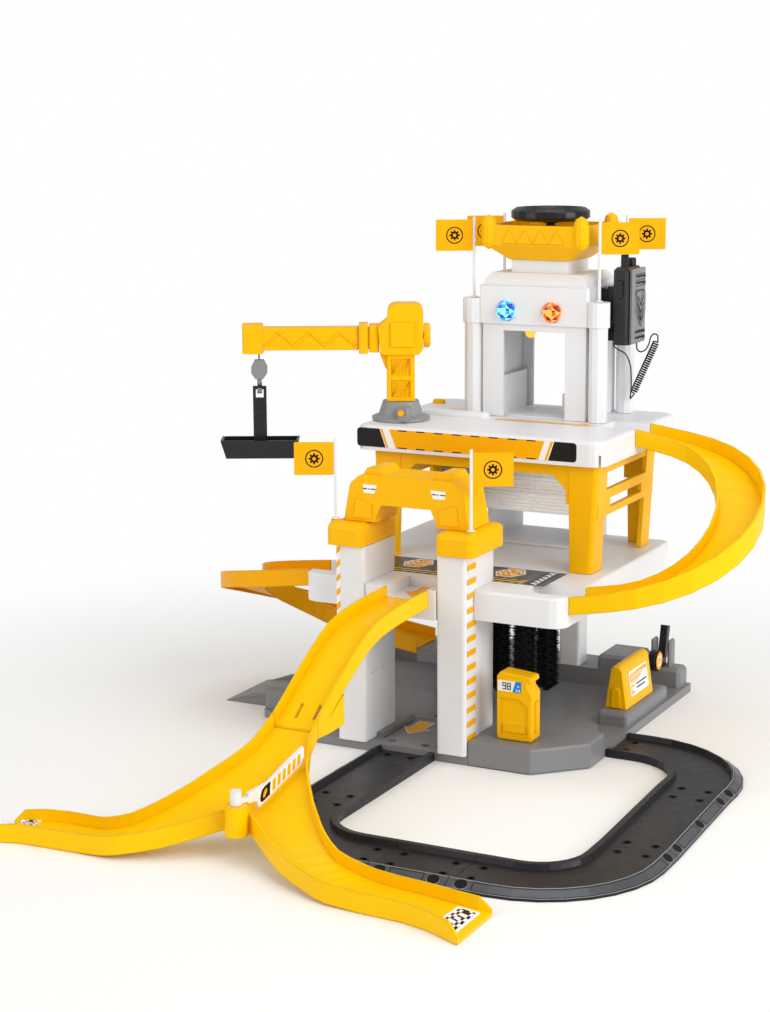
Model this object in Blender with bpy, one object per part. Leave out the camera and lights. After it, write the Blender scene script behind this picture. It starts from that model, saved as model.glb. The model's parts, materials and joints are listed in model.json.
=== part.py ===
"""Toy parking garage: a base with a gate, a middle deck, a top deck with a lift tower,
three slides, a crane, a car wash and a track loop.

Sizes below are in millimetres; MM turns them into metres. +X is right and +Y is away from
the gate. The origin is on the underside of the base plate, near the middle of the plate.
"""
import math

import bmesh
import bpy
from mathutils import Matrix, Vector

MM = 0.001
GAP = 0.3                      # clearance between pieces that touch
TAU = 2 * math.pi

# Heights of the three storeys
FLOOR_Z = 8.0                  # top of the base floor
DECK_Z = 147.0                 # top of the middle deck
DECK_H = 25.0                  # depth of the middle deck's skirt
ROOF_Z = 263.0                 # top of the top deck
ROOF_H = 22.0
SUNK = 9.0                     # how far the slide exits lie below a deck

# Base plate
BASE_LEFT = -156.0
BASE_RIGHT = 160.0
BASE_FRONT = -142.0
BASE_BACK = 150.0
BASE_CHAMFER = 70.0
PLATFORM_Z = 22.0              # eight-sided platform that carries the fuel can
ISLAND_Z = 20.0                # pump island
ISLAND_W = 28.0
HOLDER_X = 137.0               # middle of the nozzle's holder
LANDING_Z = 50.0               # where the left slide ends
STEP_Z = 24.0                  # raised rear strip

# Gate
GATE_X = 6.0                   # middle of the gate and of the road
ROAD_W = 66.0
PILLAR_W = 27.0
PILLAR_D = 58.0
PILLAR_FRONT = -146.0
CAP_H = 19.0
CAP_OVER = 8.0
CAP_Z = 178.0
ARCH_H = 44.0
ARCH_W = 116.0
ARCH_D = 40.0
ARCH_OPEN_W = 56.0
ARCH_OPEN_H = 15.0

# Middle deck, the four-legged stand on it, and the top deck
DECK_LEFT = -95.0
DECK_RIGHT = 145.0
DECK_FRONT = -130.0
DECK_BACK = 128.0
ROOF_LEFT = -89.0
ROOF_RIGHT = 144.0
ROOF_FRONT = -44.0
ROOF_BACK = 140.0
STAND_LEFT = -75.0
STAND_RIGHT = 137.0
STAND_FRONT = -36.0
STAND_BACK = 108.0
LEG_W = 27.0
LEG_D = 24.0
LEG_WALL = 4.0
BEAM_H = 26.0

# Lift tower
TOWER_X = 40.0
TOWER_FRONT = 50.0
TOWER_W = 104.0
TOWER_D = 77.0
SHAFT_W = 80.0
WALL = 6.0
DOOR_W = 60.0
DOOR_H = 78.0
HEAD_Z = ROOF_Z + 84.0         # underside of the thicker head
HEAD_OVER = 2.5
SHOULDER_Z = HEAD_Z + 34.0
TOWER_TOP = SHOULDER_Z + 11.0
NECK_W = 54.0
NECK_D = 48.0
CROWN_Z = TOWER_TOP + 11.5
CROWN_TAPER = 13.0
CROWN_BAND = 18.0
CROWN_W = 96.0
CROWN_D = 80.0
KNOB_R = 7.0
KNOB_H = 27.0
WHEEL_R = 36.0
WHEEL_TUBE = 5.0
WHEEL_RISE = 8.5                # middle of the wheel over the crown's rim
WHEEL_Z = CROWN_Z + CROWN_TAPER + CROWN_BAND + WHEEL_RISE
SHAFT_R = 4.0
SOCKET_R = 10.0
SOCKET_Z = SHOULDER_Z - 12.0
SOCKET_H = 22.0
LAMP_R = 7.5

# Lift drive: a twisted bar turns in the lift car's nut
SCREW_DX = 20.0
SCREW_DY = 14.0
SCREW_R = 4.4
SCREW_LEAD = 48.0              # rise of the car for one turn of the bar
GEAR_TEETH = 14
GEAR_H = 5.0
GEAR_Z = SHOULDER_Z + 2.0
LIFT_TRAVEL = 110.0
CAR_W = SHAFT_W - 6.0
CAR_D = TOWER_D - 2 * WALL - 3.0
CAR_FLOOR = 4.0
CAR_WALL_H = 34.0

# Slides: a floor between two walls that also hang below it
SLIDE_W = 40.0
SLIDE_WALL = 2.2
SLIDE_UP = 9.0                 # wall above the floor
SLIDE_DOWN = 6.0               # skirt below the floor
SLIDE_FLOOR = 2.5
SLIDE_Y = -98.0                # both side slides meet the middle deck here
ROOF_SLIDE_Y = 53.0
RIGHT_REACH = 254.0            # outermost middle line of the right slide
LEFT_REACH = -203.0
LEFT_END_X = -56.0
LEFT_END_Y = 30.0

# Track loop
TRACK_W = 60.0
TRACK_FLOOR = 3.0
RAIL_W = 5.0
OUTER_RAIL_W = 9.5
RAIL_H = 7.0
RAIL_FOOT = 1.7                # where the outer rail's slope ends
TRACK_R = 67.0                 # radius of the middle line at the corners
CORNER_END = 31.0              # straight end of each corner piece
TRACK_FRONT_Y = -370.0
TRACK_RIGHT_X = 266.0
REAR_X = 261.0                 # the side piece leans in towards the rear corner
REAR_R = 78.0
REAR_END = 20.0
TRACK_ENTRY_Y = -40.0

# Crane on the top deck
CRANE_X = -66.0
CRANE_Y = 0.0
CRANE_BASE_R = 26.0
CRANE_BASE_H = 17.0
WELL_R = 9.0
MAST_W = 25.0
MAST_TOP = 59.0
HEAD_W = 40.0
HEAD_H = 45.0
BOOM_LEN = 100.0
BOOM_H = 20.0
HOOK_R = 2.6
THREAD_R = 0.8
BOOM_TURN = 27.2               # degrees from -X towards the gate
HOIST_REACH = 126.0

# Car wash brushes
BRUSH_R = 12.0
BRUSH_CORE = 4.6
BRUSH_ROWS = 20
BRUSH_SIDES = 10
BRUSH_H = 76.0
BRUSHES = ((94.0, -88.0), (94.0, -40.0), (58.0, -60.0))
HUB_R = 7.5
HUB_H = 15.0

# Handset and its curly cord
SET_W = 19.0
SET_D = 35.0
SET_H = 68.0
SET_X = TOWER_X + TOWER_W / 2 + 16.0
SET_Y = 67.0
SET_Z = 331.0
CORD_D = 1.3
CURL_R = 2.9                   # middle of the wire
CURLS = 24
CURL_POINTS = 8

# Flags
POLE_R = 1.4
FLAG_W = 34.0
FLAG_H = 27.0
FLAG_T = 0.9
TOWER_POLE = 72.0
GATE_POLE = 68.0

YELLOW = ("yellow_plastic", (0.95, 0.60, 0.02), 0.3, 0.0)
WHITE = ("white_plastic", (0.86, 0.87, 0.88), 0.3, 0.0)
GREY = ("grey_plastic", (0.12, 0.12, 0.13), 0.4, 0.0)
BLACK = ("black_plastic", (0.02, 0.02, 0.022), 0.35, 0.0)
STEEL_GREY = ("shutter_grey", (0.45, 0.45, 0.47), 0.35, 0.0)
CORD_BLACK = ("cord_black", (0.015, 0.015, 0.015), 0.45, 0.0)
BRISTLE = ("bristle_black", (0.015, 0.015, 0.018), 0.6, 0.0)
BLUE = ("blue_lens", (0.05, 0.35, 0.9), 0.1, 0.0)
RED = ("orange_lens", (0.95, 0.2, 0.03), 0.1, 0.0)
AMBER = ("amber_lens", (1.0, 0.65, 0.05), 0.1, 0.0)


def clear_scene():
    for obj in list(bpy.data.objects):
        bpy.data.objects.remove(obj, do_unlink=True)


def material(spec):
    name, colour, rough, metal = spec
    found = bpy.data.materials.get(name)
    if found:
        return found
    mat = bpy.data.materials.new(name)
    mat.use_nodes = True
    shader = mat.node_tree.nodes["Principled BSDF"]
    shader.inputs["Base Color"].default_value = (*colour, 1.0)
    shader.inputs["Roughness"].default_value = rough
    shader.inputs["Metallic"].default_value = metal
    return mat


def to_object(name, bm, spec=None, smooth=False):
    """Scale a mesh built in millimetres to metres and wrap it in an object."""
    bmesh.ops.scale(bm, vec=(MM, MM, MM), verts=bm.verts)
    bmesh.ops.recalc_face_normals(bm, faces=bm.faces)
    mesh = bpy.data.meshes.new(name)
    bm.to_mesh(mesh)
    bm.free()
    if smooth:
        mesh.shade_smooth()
        mesh.set_sharp_from_angle(angle=math.radians(35))
    obj = bpy.data.objects.new(name, mesh)
    bpy.context.scene.collection.objects.link(obj)
    if spec:
        obj.data.materials.append(material(spec))
    return obj


def helper(name, bm):
    obj = to_object(name, bm)
    obj.hide_render = True
    obj.display_type = 'WIRE'
    return obj


def piece(name, spec, first, *steps, smooth=True):
    """One solid: the first mesh with the others added ('+') or cut away ('-')."""
    obj = to_object(name, first, spec, smooth)
    for index, (sign, bm) in enumerate(steps):
        tool = helper(f"{name}_tool_{index}", bm)
        mod = obj.modifiers.new(f"step_{index}", 'BOOLEAN')
        mod.operation = 'UNION' if sign == '+' else 'DIFFERENCE'
        mod.solver = 'EXACT'
        mod.object = tool
    return obj


def box(x0, x1, y0, y1, z0, z1, radius=0.0, edges="vertical", segments=2):
    """A block; its upright edges, or its upright and top edges, are rounded."""
    bm = bmesh.new()
    bmesh.ops.create_cube(bm, size=1.0)
    for v in bm.verts:
        v.co = Vector((x0 if v.co.x < 0 else x1, y0 if v.co.y < 0 else y1,
                       z0 if v.co.z < 0 else z1))
    if radius:
        chosen = [e for e in bm.edges if is_upright(e)]
        if edges == "top":
            chosen += [e for e in bm.edges if min(v.co.z for v in e.verts) > z1 - 0.001]
        bmesh.ops.bevel(bm, geom=chosen, offset=radius, segments=segments, affect='EDGES',
                        profile=0.5)
    return bm


def is_upright(edge):
    a, b = (v.co for v in edge.verts)
    return abs(a.x - b.x) < 0.001 and abs(a.y - b.y) < 0.001


def prism(points, low, high, axis="z"):
    """Extrude a flat outline. Axis z takes (x, y), y takes (x, z) and x takes (y, z)."""
    place = {"z": lambda a, b, c: (a, b, c), "y": lambda a, b, c: (a, c, b),
             "x": lambda a, b, c: (c, a, b)}[axis]
    bm = bmesh.new()
    lower = [bm.verts.new(place(a, b, low)) for a, b in points]
    upper = [bm.verts.new(place(a, b, high)) for a, b in points]
    bm.faces.new(lower)
    bm.faces.new(upper)
    count = len(points)
    for i in range(count):
        j = (i + 1) % count
        bm.faces.new((lower[i], lower[j], upper[j], upper[i]))
    bmesh.ops.recalc_face_normals(bm, faces=bm.faces)
    return bm


def rounded(points, radius, segments=4):
    """Round every corner of an outline, or each by its own radius."""
    count = len(points)
    radii = radius if isinstance(radius, (list, tuple)) else [radius] * count
    result = []
    for i, corner in enumerate(points):
        p = Vector(corner)
        before = (Vector(points[i - 1]) - p).normalized()
        after = (Vector(points[(i + 1) % count]) - p).normalized()
        if radii[i] <= 0:
            result.append(tuple(p))
            continue
        half = before.angle(after) / 2
        run = radii[i] / math.tan(half)
        start, end = p + before * run, p + after * run
        centre = p + (before + after).normalized() * radii[i] / math.sin(half)
        a0, a1 = start - centre, end - centre
        turn = a0.angle_signed(a1)
        for k in range(segments + 1):
            arm = a0.copy()
            arm.rotate(Matrix.Rotation(-turn * k / segments, 2))
            result.append(tuple(centre + arm))
    return result


def rectangle(x0, x1, y0, y1):
    return [(x0, y0), (x1, y0), (x1, y1), (x0, y1)]


def turned(profile, centre=(0, 0, 0), axis="z", sides=20):
    """Turn a closed profile of (radius, height) round an axis; it starts and ends on it."""
    bm = bmesh.new()
    rings = []
    for r, h in profile:
        if r < 0.001:
            rings.append([bm.verts.new((0, 0, h))])
        else:
            rings.append([bm.verts.new((r * math.cos(TAU * k / sides),
                                        r * math.sin(TAU * k / sides), h))
                          for k in range(sides)])
    for low, high in zip(rings, rings[1:]):
        for k in range(sides):
            n = (k + 1) % sides
            if len(low) == 1:
                bm.faces.new((low[0], high[n], high[k]))
            elif len(high) == 1:
                bm.faces.new((low[k], low[n], high[0]))
            else:
                bm.faces.new((low[k], low[n], high[n], high[k]))
    if axis == "y":
        bmesh.ops.rotate(bm, matrix=Matrix.Rotation(-math.pi / 2, 3, 'X'), verts=bm.verts)
    if axis == "x":
        bmesh.ops.rotate(bm, matrix=Matrix.Rotation(math.pi / 2, 3, 'Y'), verts=bm.verts)
    bmesh.ops.translate(bm, vec=centre, verts=bm.verts)
    bmesh.ops.recalc_face_normals(bm, faces=bm.faces)
    return bm


def rod(radius, low, high, centre=(0, 0), axis="z", sides=16):
    """A plain round bar from low to high along an axis."""
    place = {"z": (centre[0], centre[1], 0), "y": (centre[0], 0, centre[1]),
             "x": (0, centre[0], centre[1])}[axis]
    return turned([(0, low), (radius, low), (radius, high), (0, high)], place, axis, sides)


def lean(bm, angle, axis, centre):
    """Rotate a mesh by degrees round an axis through a point."""
    bmesh.ops.rotate(bm, cent=centre, matrix=Matrix.Rotation(math.radians(angle), 3, axis),
                     verts=bm.verts)
    return bm


def smooth_path(points, steps):
    """A Catmull-Rom curve through the points, with the same number of steps in each span."""
    pts = [Vector(p) for p in points]
    pts = [2 * pts[0] - pts[1]] + pts + [2 * pts[-1] - pts[-2]]
    path = []
    for i in range(1, len(pts) - 2):
        a, b, c, d = pts[i - 1:i + 3]
        for k in range(steps):
            t = k / steps
            path.append(0.5 * (2 * b + (c - a) * t + (2 * a - 5 * b + 4 * c - d) * t * t
                               + (3 * b - a - 3 * c + d) * t ** 3))
    path.append(pts[-2])
    return path


def loft(rings):
    """Join closed rings of equal length into one solid with flat ends."""
    bm = bmesh.new()
    verts = [[bm.verts.new(p) for p in ring] for ring in rings]
    count = len(rings[0])
    for low, high in zip(verts, verts[1:]):
        for k in range(count):
            n = (k + 1) % count
            bm.faces.new((low[k], low[n], high[n], high[k]))
    bm.faces.new(verts[0])
    bm.faces.new(verts[-1])
    bmesh.ops.recalc_face_normals(bm, faces=bm.faces)
    return bm


def along(path, section, end_tangents=None):
    """Place a section of (sideways, up) pairs across a path; section may vary with i."""
    rings = []
    last = len(path) - 1
    for i, p in enumerate(path):
        ahead = path[min(i + 1, last)] - path[max(i - 1, 0)]
        fixed = end_tangents[0 if i == 0 else 1] if end_tangents and i in (0, last) else None
        if fixed:
            ahead = Vector(fixed)
        side = Vector((ahead.y, -ahead.x, 0)).normalized()
        rings.append([p + side * s + Vector((0, 0, u)) for s, u in section(i / last)])
    return rings


def slide_section(width=SLIDE_W, raise_side=0, raise_by=7.0):
    """Cross-section of a slide; the outer wall rises in the bend, on the side of +1 or -1."""
    half = width / 2

    def section(t):
        extra = raise_by * math.sin(math.pi * t) ** 2
        left = SLIDE_UP + (extra if raise_side < 0 else 0)
        right = SLIDE_UP + (extra if raise_side > 0 else 0)
        inner = half - SLIDE_WALL
        return [(-half, -SLIDE_DOWN), (-inner, -SLIDE_DOWN), (-inner, -SLIDE_FLOOR),
                (inner, -SLIDE_FLOOR), (inner, -SLIDE_DOWN), (half, -SLIDE_DOWN),
                (half, right), (inner, right), (inner, 0), (-inner, 0),
                (-inner, left), (-half, left)]
    return section


def u_turn(start, end, reach, start_z, end_z, steps=13):
    """Middle line of a side slide: straight, half circle, straight, sinking evenly."""
    radius = abs(end[1] - start[1]) / 2
    way = 1 if reach > start[0] else -1
    turn_x = reach - way * radius
    mid_y = (start[1] + end[1]) / 2
    flat = [Vector((start[0], start[1])), Vector(((start[0] + turn_x) / 2, start[1]))]
    swing = 1 if end[1] > start[1] else -1
    for k in range(steps + 1):
        a = -math.pi / 2 + math.pi * k / steps
        flat.append(Vector((turn_x + way * radius * math.cos(a),
                            mid_y + swing * radius * math.sin(a))))
    flat += [Vector(((end[0] + turn_x) / 2, end[1])), Vector((end[0], end[1]))]
    lengths = [0.0]
    for a, b in zip(flat, flat[1:]):
        lengths.append(lengths[-1] + (b - a).length)
    path = []
    for p, run in zip(flat, lengths):
        t = run / lengths[-1]
        ease = t - 0.09 * math.sin(TAU * t)
        path.append(Vector((p.x, p.y, start_z + (end_z - start_z) * ease)))
    return path


def base_plate():
    """Floor, platform, island, landing and the seats that carry the columns."""
    floor = prism([(BASE_LEFT + BASE_CHAMFER + 10, BASE_FRONT), (BASE_RIGHT - 40, BASE_FRONT),
                   (BASE_RIGHT, -100), (BASE_RIGHT, BASE_BACK), (BASE_LEFT, BASE_BACK),
                   (BASE_LEFT, BASE_FRONT + 46)], 0, FLOOR_Z)
    right = BASE_RIGHT + 1
    outline = rounded([(GATE_X + ROAD_W / 2 + PILLAR_W + GAP, BASE_FRONT - 1),
                       (right - 38, BASE_FRONT - 1), (right, -105), (right, -72),
                       (120, -72), (GATE_X + ROAD_W / 2 + PILLAR_W + GAP, -84)],
                      [1.5, 3, 3, 3, 8, 1.5], 2)
    platform = prism(outline, 1, PLATFORM_Z)
    bmesh.ops.bevel(platform, geom=[e for e in platform.edges
                                    if min(v.co.z for v in e.verts) > PLATFORM_Z - 0.01],
                    offset=2.0, segments=2, affect='EDGES', profile=0.5)
    island = box(BASE_RIGHT - 3 - ISLAND_W, BASE_RIGHT - 3, -10, 95, 2, ISLAND_Z, 3, "top", 2)
    holder = box(124, BASE_RIGHT - 3, 126, BASE_BACK - 1, 2, 26, 3, "top", 1)
    rear_block = box(84, 121, 104, BASE_BACK - 1, 2, 38, 3, "top", 1)
    step = box(BASE_LEFT + 1, 90, 104, BASE_BACK - 1.5, 2, STEP_Z)
    landing = box(LEFT_END_X + GAP, GATE_X + 42, 8, 56, LANDING_Z - 12, LANDING_Z, 2, "top", 1)
    landing_wall = box(LEFT_END_X + 14, GATE_X + 36, 18, 100, 2, LANDING_Z - 6)
    wedge = prism([(BASE_FRONT + 47, 2), (BASE_FRONT + 47, 26), (BASE_FRONT + 58, 26),
                   (BASE_FRONT + 70, 10), (BASE_FRONT + 70, 2)], BASE_LEFT + 0.5,
                  BASE_LEFT + 22, "x")
    curb = box(GATE_X - ROAD_W / 2 + GAP, GATE_X - ROAD_W / 2 + 6, -126, -64, 2, FLOOR_Z + 4)
    prongs = [box(HOLDER_X + dx, HOLDER_X + dx + 4, 130, 142, 20, 52, 1.8, "top", 1)
              for dx in (-10, 6)]
    fence = box(BASE_LEFT + 1, BASE_LEFT + 7, 10, 104.5, 2, 30, 2, "top", 1)
    steps = [('+', bm) for bm in (platform, island, holder, rear_block, step, landing_wall,
                                  landing, wedge, curb, fence, *prongs)]
    steps.append(('-', box(GATE_X + 6, GATE_X + 24, -78, -66, FLOOR_Z - 4, FLOOR_Z + 1)))
    steps += [('-', rod(4, FLOOR_Z - 3, FLOOR_Z + 1, (GATE_X + dx, -130), sides=10))
              for dx in (-16, 16)]
    for x in PILLAR_XS:
        steps.append(('-', box(x + 3, x + PILLAR_W - 3, PILLAR_FRONT + 9,
                               PILLAR_FRONT + PILLAR_D - 6, FLOOR_Z - 5, FLOOR_Z + 1)))
    return piece("base_plate", GREY, floor, *steps)


PILLAR_XS = (GATE_X - ROAD_W / 2 - PILLAR_W, GATE_X + ROAD_W / 2)
ARCH_BACK = PILLAR_FRONT + 11 + ARCH_D
SCREW_X = TOWER_X + SCREW_DX
TOWER_Y = TOWER_FRONT + TOWER_D / 2
SCREW_Y = TOWER_Y + SCREW_DY
GEAR_PITCH = math.hypot(SCREW_DX, SCREW_DY) / 2


def base_ramp():
    """A curved ramp that climbs from the ground to the left edge of the base."""
    reach = 58.0
    top = [(BASE_LEFT - GAP - reach * (1 - k / 8), FLOOR_Z * math.sin(math.pi / 2 * k / 8) + 0.6)
           for k in range(9)]
    body = prism([(BASE_LEFT - GAP, 0), *reversed(top), (top[0][0], 0)], -66, 8, "y")
    rails = [prism([(BASE_LEFT - GAP - 2, 1), (BASE_LEFT - GAP - 2, 15),
                    (BASE_LEFT - GAP - 30, 10), (BASE_LEFT - GAP - reach + 4, 1)], y, y + 4, "y")
             for y in (-65, 3)]
    return piece("base_ramp", GREY, body, *[('+', r) for r in rails])


def gate_pillars():
    for side, x in zip(("left", "right"), PILLAR_XS):
        body = box(x + GAP, x + PILLAR_W - GAP, PILLAR_FRONT, PILLAR_FRONT + PILLAR_D,
                   FLOOR_Z + GAP, CAP_Z - GAP, 2.5)
        foot = box(x + 4, x + PILLAR_W - 4, PILLAR_FRONT + 10, PILLAR_FRONT + PILLAR_D - 7,
                   FLOOR_Z - 4, FLOOR_Z + 2)
        slot = box(x + PILLAR_W - 1.5 if side == "left" else x - 1,
                   x + PILLAR_W + 1 if side == "left" else x + 1.5,
                   PILLAR_FRONT + 8, PILLAR_FRONT + 34, 66, 69)
        piece(f"gate_pillar_{side}", WHITE, body, ('+', foot), ('-', slot))


def gate_caps():
    top = CAP_Z + CAP_H
    for side, x in zip(("left", "right"), PILLAR_XS):
        over = CAP_OVER
        x0 = x - over if side == "left" else x
        x1 = x + PILLAR_W if side == "left" else x + PILLAR_W + over
        cap = box(x0 + GAP, x1 - GAP, PILLAR_FRONT - 4, PILLAR_FRONT + PILLAR_D + 4,
                  CAP_Z, top, 5, "top")
        pole_x = gate_pole_x(side)
        seat = rod(4.2, top - 3, top + 1.6, (pole_x, PILLAR_FRONT + 5), sides=12)
        hole = rod(POLE_R + GAP, top - 8, top + 3, (pole_x, PILLAR_FRONT + 5), sides=10)
        piece(f"gate_cap_{side}", YELLOW, cap, ('+', seat), ('-', hole))


def gate_pole_x(side):
    return PILLAR_XS[0] - 2.5 if side == "left" else PILLAR_XS[1] + PILLAR_W + 2.5


def gate_arch():
    """The bar over the road: sloped shoulders, a stepped opening and two raised blocks."""
    low = CAP_Z + CAP_H + GAP
    top = low + ARCH_H
    half = ARCH_W / 2
    hole = ARCH_OPEN_W / 2
    outline = rounded([(-half, low), (-hole, low), (-hole, low + 4),
                       (-hole + 5, low + ARCH_OPEN_H), (hole - 5, low + ARCH_OPEN_H),
                       (hole, low + 4), (hole, low), (half, low), (half - 6, top - 12),
                       (half - 16, top - 4), (-half + 16, top - 4), (-half + 6, top - 12)],
                      [0, 0, 0, 1, 1, 0, 0, 0, 8, 5, 5, 8], 3)
    outline = [(GATE_X + x, z) for x, z in outline]
    body = prism(outline, ARCH_BACK - ARCH_D, ARCH_BACK, "y")
    blocks = [prism([(GATE_X + s * (half - 36), top - 5), (GATE_X + s * (half - 31), top + 1),
                     (GATE_X + s * (half - 20), top + 1), (GATE_X + s * (half - 15), top - 8)],
                    ARCH_BACK - ARCH_D + 4, ARCH_BACK - 4, "y") for s in (-1, 1)]
    panels = [prism([(GATE_X + s * (hole + 3), low + 3), (GATE_X + s * (half - 9), low + 3),
                     (GATE_X + s * (half - 12), low + 20), (GATE_X + s * (hole + 3), low + 15)],
                    ARCH_BACK - ARCH_D - 1.2, ARCH_BACK - ARCH_D + 2, "y") for s in (-1, 1)]
    return piece("gate_arch", YELLOW, body, *[('+', b) for b in blocks + panels])


def mid_deck():
    """A skirted tray: two front lobes beside the gate and a tongue over the road."""
    front = DECK_FRONT
    x0, x1 = PILLAR_XS
    notch = PILLAR_FRONT + PILLAR_D + GAP
    outline = rounded([(DECK_LEFT, front), (x0 - GAP, front), (x0 - GAP, notch),
                       (x0 + PILLAR_W + GAP, notch), (x0 + PILLAR_W + GAP, PILLAR_FRONT),
                       (x1 - GAP, PILLAR_FRONT), (x1 - GAP, notch), (x1 + PILLAR_W + GAP, notch),
                       (x1 + PILLAR_W + GAP, front), (DECK_RIGHT, front), (DECK_RIGHT, DECK_BACK),
                       (DECK_LEFT, DECK_BACK)],
                      [12, 0, 0, 0, 1, 1, 0, 0, 0, 12, 8, 8], 3)
    body = prism(outline, DECK_Z - DECK_H, DECK_Z)
    rim = [e for e in body.edges if min(v.co.z for v in e.verts) > DECK_Z - 0.01
           and max(abs(v.co.x - (DECK_LEFT + DECK_RIGHT) / 2) for v in e.verts) > 100]
    bmesh.ops.bevel(body, geom=rim, offset=2.0, segments=2, affect='EDGES', profile=0.5)
    half = SLIDE_W / 2 - SLIDE_WALL
    low = DECK_Z - SUNK
    exits = [box(12 - half, 12 + half, PILLAR_FRONT - 1, PILLAR_FRONT + 42, low, DECK_Z + 1),
             box(DECK_RIGHT - 42, DECK_RIGHT + 1, SLIDE_Y - half, SLIDE_Y + half, low, DECK_Z + 1),
             box(DECK_LEFT - 1, DECK_LEFT + 42, SLIDE_Y - half, SLIDE_Y + half, low, DECK_Z + 1)]
    floor = DECK_Z - SUNK - 3
    hollow = [box(DECK_LEFT + 3, DECK_RIGHT - 3, notch + 6, DECK_BACK - 3, DECK_Z - DECK_H - 1,
                  floor)]
    hubs = [turned([(0, floor - 1 - HUB_H), (HUB_R - 1, floor - 1 - HUB_H),
                    (HUB_R, floor - HUB_H), (HUB_R, floor + 1), (0, floor + 1)],
                   (x, y, 0), sides=14) for x, y in BRUSHES]
    bores = [rod(2.2 + GAP, floor - 3 - HUB_H, floor - 4, c, sides=10) for c in BRUSHES]
    seats = [box(x - 8.5, x + 8.5, DECK_BACK - 24, DECK_BACK - 4, DECK_Z - DECK_H, floor + 1)
             for x in COLUMN_XS]
    thread_hole = rod(SCREW_R + 1, DECK_Z - 4, DECK_Z + 1, (SCREW_X, SCREW_Y), sides=12)
    steps = [('-', bm) for bm in exits + hollow]
    steps += [('+', bm) for bm in hubs + seats]
    steps += [('-', bm) for bm in bores + [thread_hole]]
    return piece("mid_deck", WHITE, body, *steps)


COLUMN_XS = (-50.0, 56.0)


def rear_columns():
    for side, x in zip(("left", "right"), COLUMN_XS):
        body = box(x - 10, x + 10, DECK_BACK - 24, DECK_BACK - 2, STEP_Z + GAP,
                   DECK_Z - DECK_H - GAP, 2)
        slot = box(x - 6, x + 6, DECK_BACK - 12, DECK_BACK + 1, STEP_Z + 8, DECK_Z - DECK_H - 10)
        piece(f"rear_column_{side}", WHITE, body, ('-', slot))


def deck_stand():
    """Yellow stand: four angle-section legs that splay, joined by beams on each side."""
    low, high = DECK_Z + GAP, ROOF_Z - ROOF_H - GAP
    splay = 5.0
    first = None
    steps = []
    for sx, x in ((-1, STAND_LEFT), (1, STAND_RIGHT)):
        for sy, y in ((-1, STAND_FRONT), (1, STAND_BACK)):
            rings = []
            for z, out, w, d in ((low, 0.0, LEG_W * 0.72, LEG_D), (high, splay, LEG_W, LEG_D)):
                ex, ey = x - sx * (splay - out), y
                ix, iy = ex - sx * w, ey - sy * d
                rings.append([Vector(p) for p in (
                    (ex, ey, z), (ix, ey, z), (ix, ey - sy * LEG_WALL, z),
                    (ex - sx * LEG_WALL, ey - sy * LEG_WALL, z), (ex - sx * LEG_WALL, iy, z),
                    (ex, iy, z))])
            leg = loft(rings)
            corner = [e for e in leg.edges
                      if all(abs(v.co.y - y) < 0.01 and sx * (v.co.x - x) > -splay - 0.01
                             for v in e.verts)]
            bmesh.ops.bevel(leg, geom=corner, offset=3.5, segments=2, affect='EDGES',
                            profile=0.5)
            if first is None:
                first = leg
            else:
                steps.append(('+', leg))
    front_beam = prism(beam_outline(STAND_LEFT + 6, STAND_RIGHT - 6, high, BEAM_H),
                       STAND_FRONT + 0.5, STAND_FRONT + LEG_WALL + 1, "y")
    rear_beam = prism(beam_outline(STAND_LEFT + 6, STAND_RIGHT - 6, high, BEAM_H),
                      STAND_BACK - LEG_WALL - 1, STAND_BACK - 0.5, "y")
    room = box(TOWER_X - SHAFT_W / 2 - 4 - GAP, TOWER_X + SHAFT_W / 2 + 4 + GAP,
               STAND_BACK - LEG_WALL - 4, STAND_BACK + 1, high - BEAM_H - 20, high + 1)
    steps += [('+', front_beam), ('+', rear_beam), ('-', room)]
    for x in (STAND_LEFT + 1.5, STAND_RIGHT - 1.5 - LEG_WALL):
        top = prism([(STAND_FRONT + 5, high - 9), (STAND_BACK - 5, high - 9),
                     (STAND_BACK - 5, high - 0.5), (STAND_FRONT + 5, high - 0.5)],
                    x, x + LEG_WALL, "x")
        mid = prism([(STAND_FRONT + 5, high - 46), (STAND_BACK - 5, high - 46),
                     (STAND_BACK - 5, high - 24), (STAND_FRONT + 5, high - 24)],
                    x, x + LEG_WALL, "x")
        window = prism(rectangle(STAND_FRONT + LEG_D + 10, STAND_BACK - LEG_D - 10,
                                 high - 40, high - 32), x - 1, x + LEG_WALL + 1, "x")
        steps += [('+', top), ('+', mid), ('-', window)]
    return piece("deck_stand", YELLOW, first, *steps)


def beam_outline(x0, x1, high, drop):
    """A beam whose ends reach down to the legs through 45 degree corners."""
    chamfer = 12.0
    return [(x0, high - 0.5), (x0, high - drop - 8), (x0 + LEG_W - 4, high - drop - 8),
            (x0 + LEG_W - 4, high - drop + 4), (x0 + LEG_W - 4 + chamfer, high - drop + 16),
            (x1 - LEG_W + 4 - chamfer, high - drop + 16), (x1 - LEG_W + 4, high - drop + 4),
            (x1 - LEG_W + 4, high - drop - 8), (x1, high - drop - 8), (x1, high - 0.5)]


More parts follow.
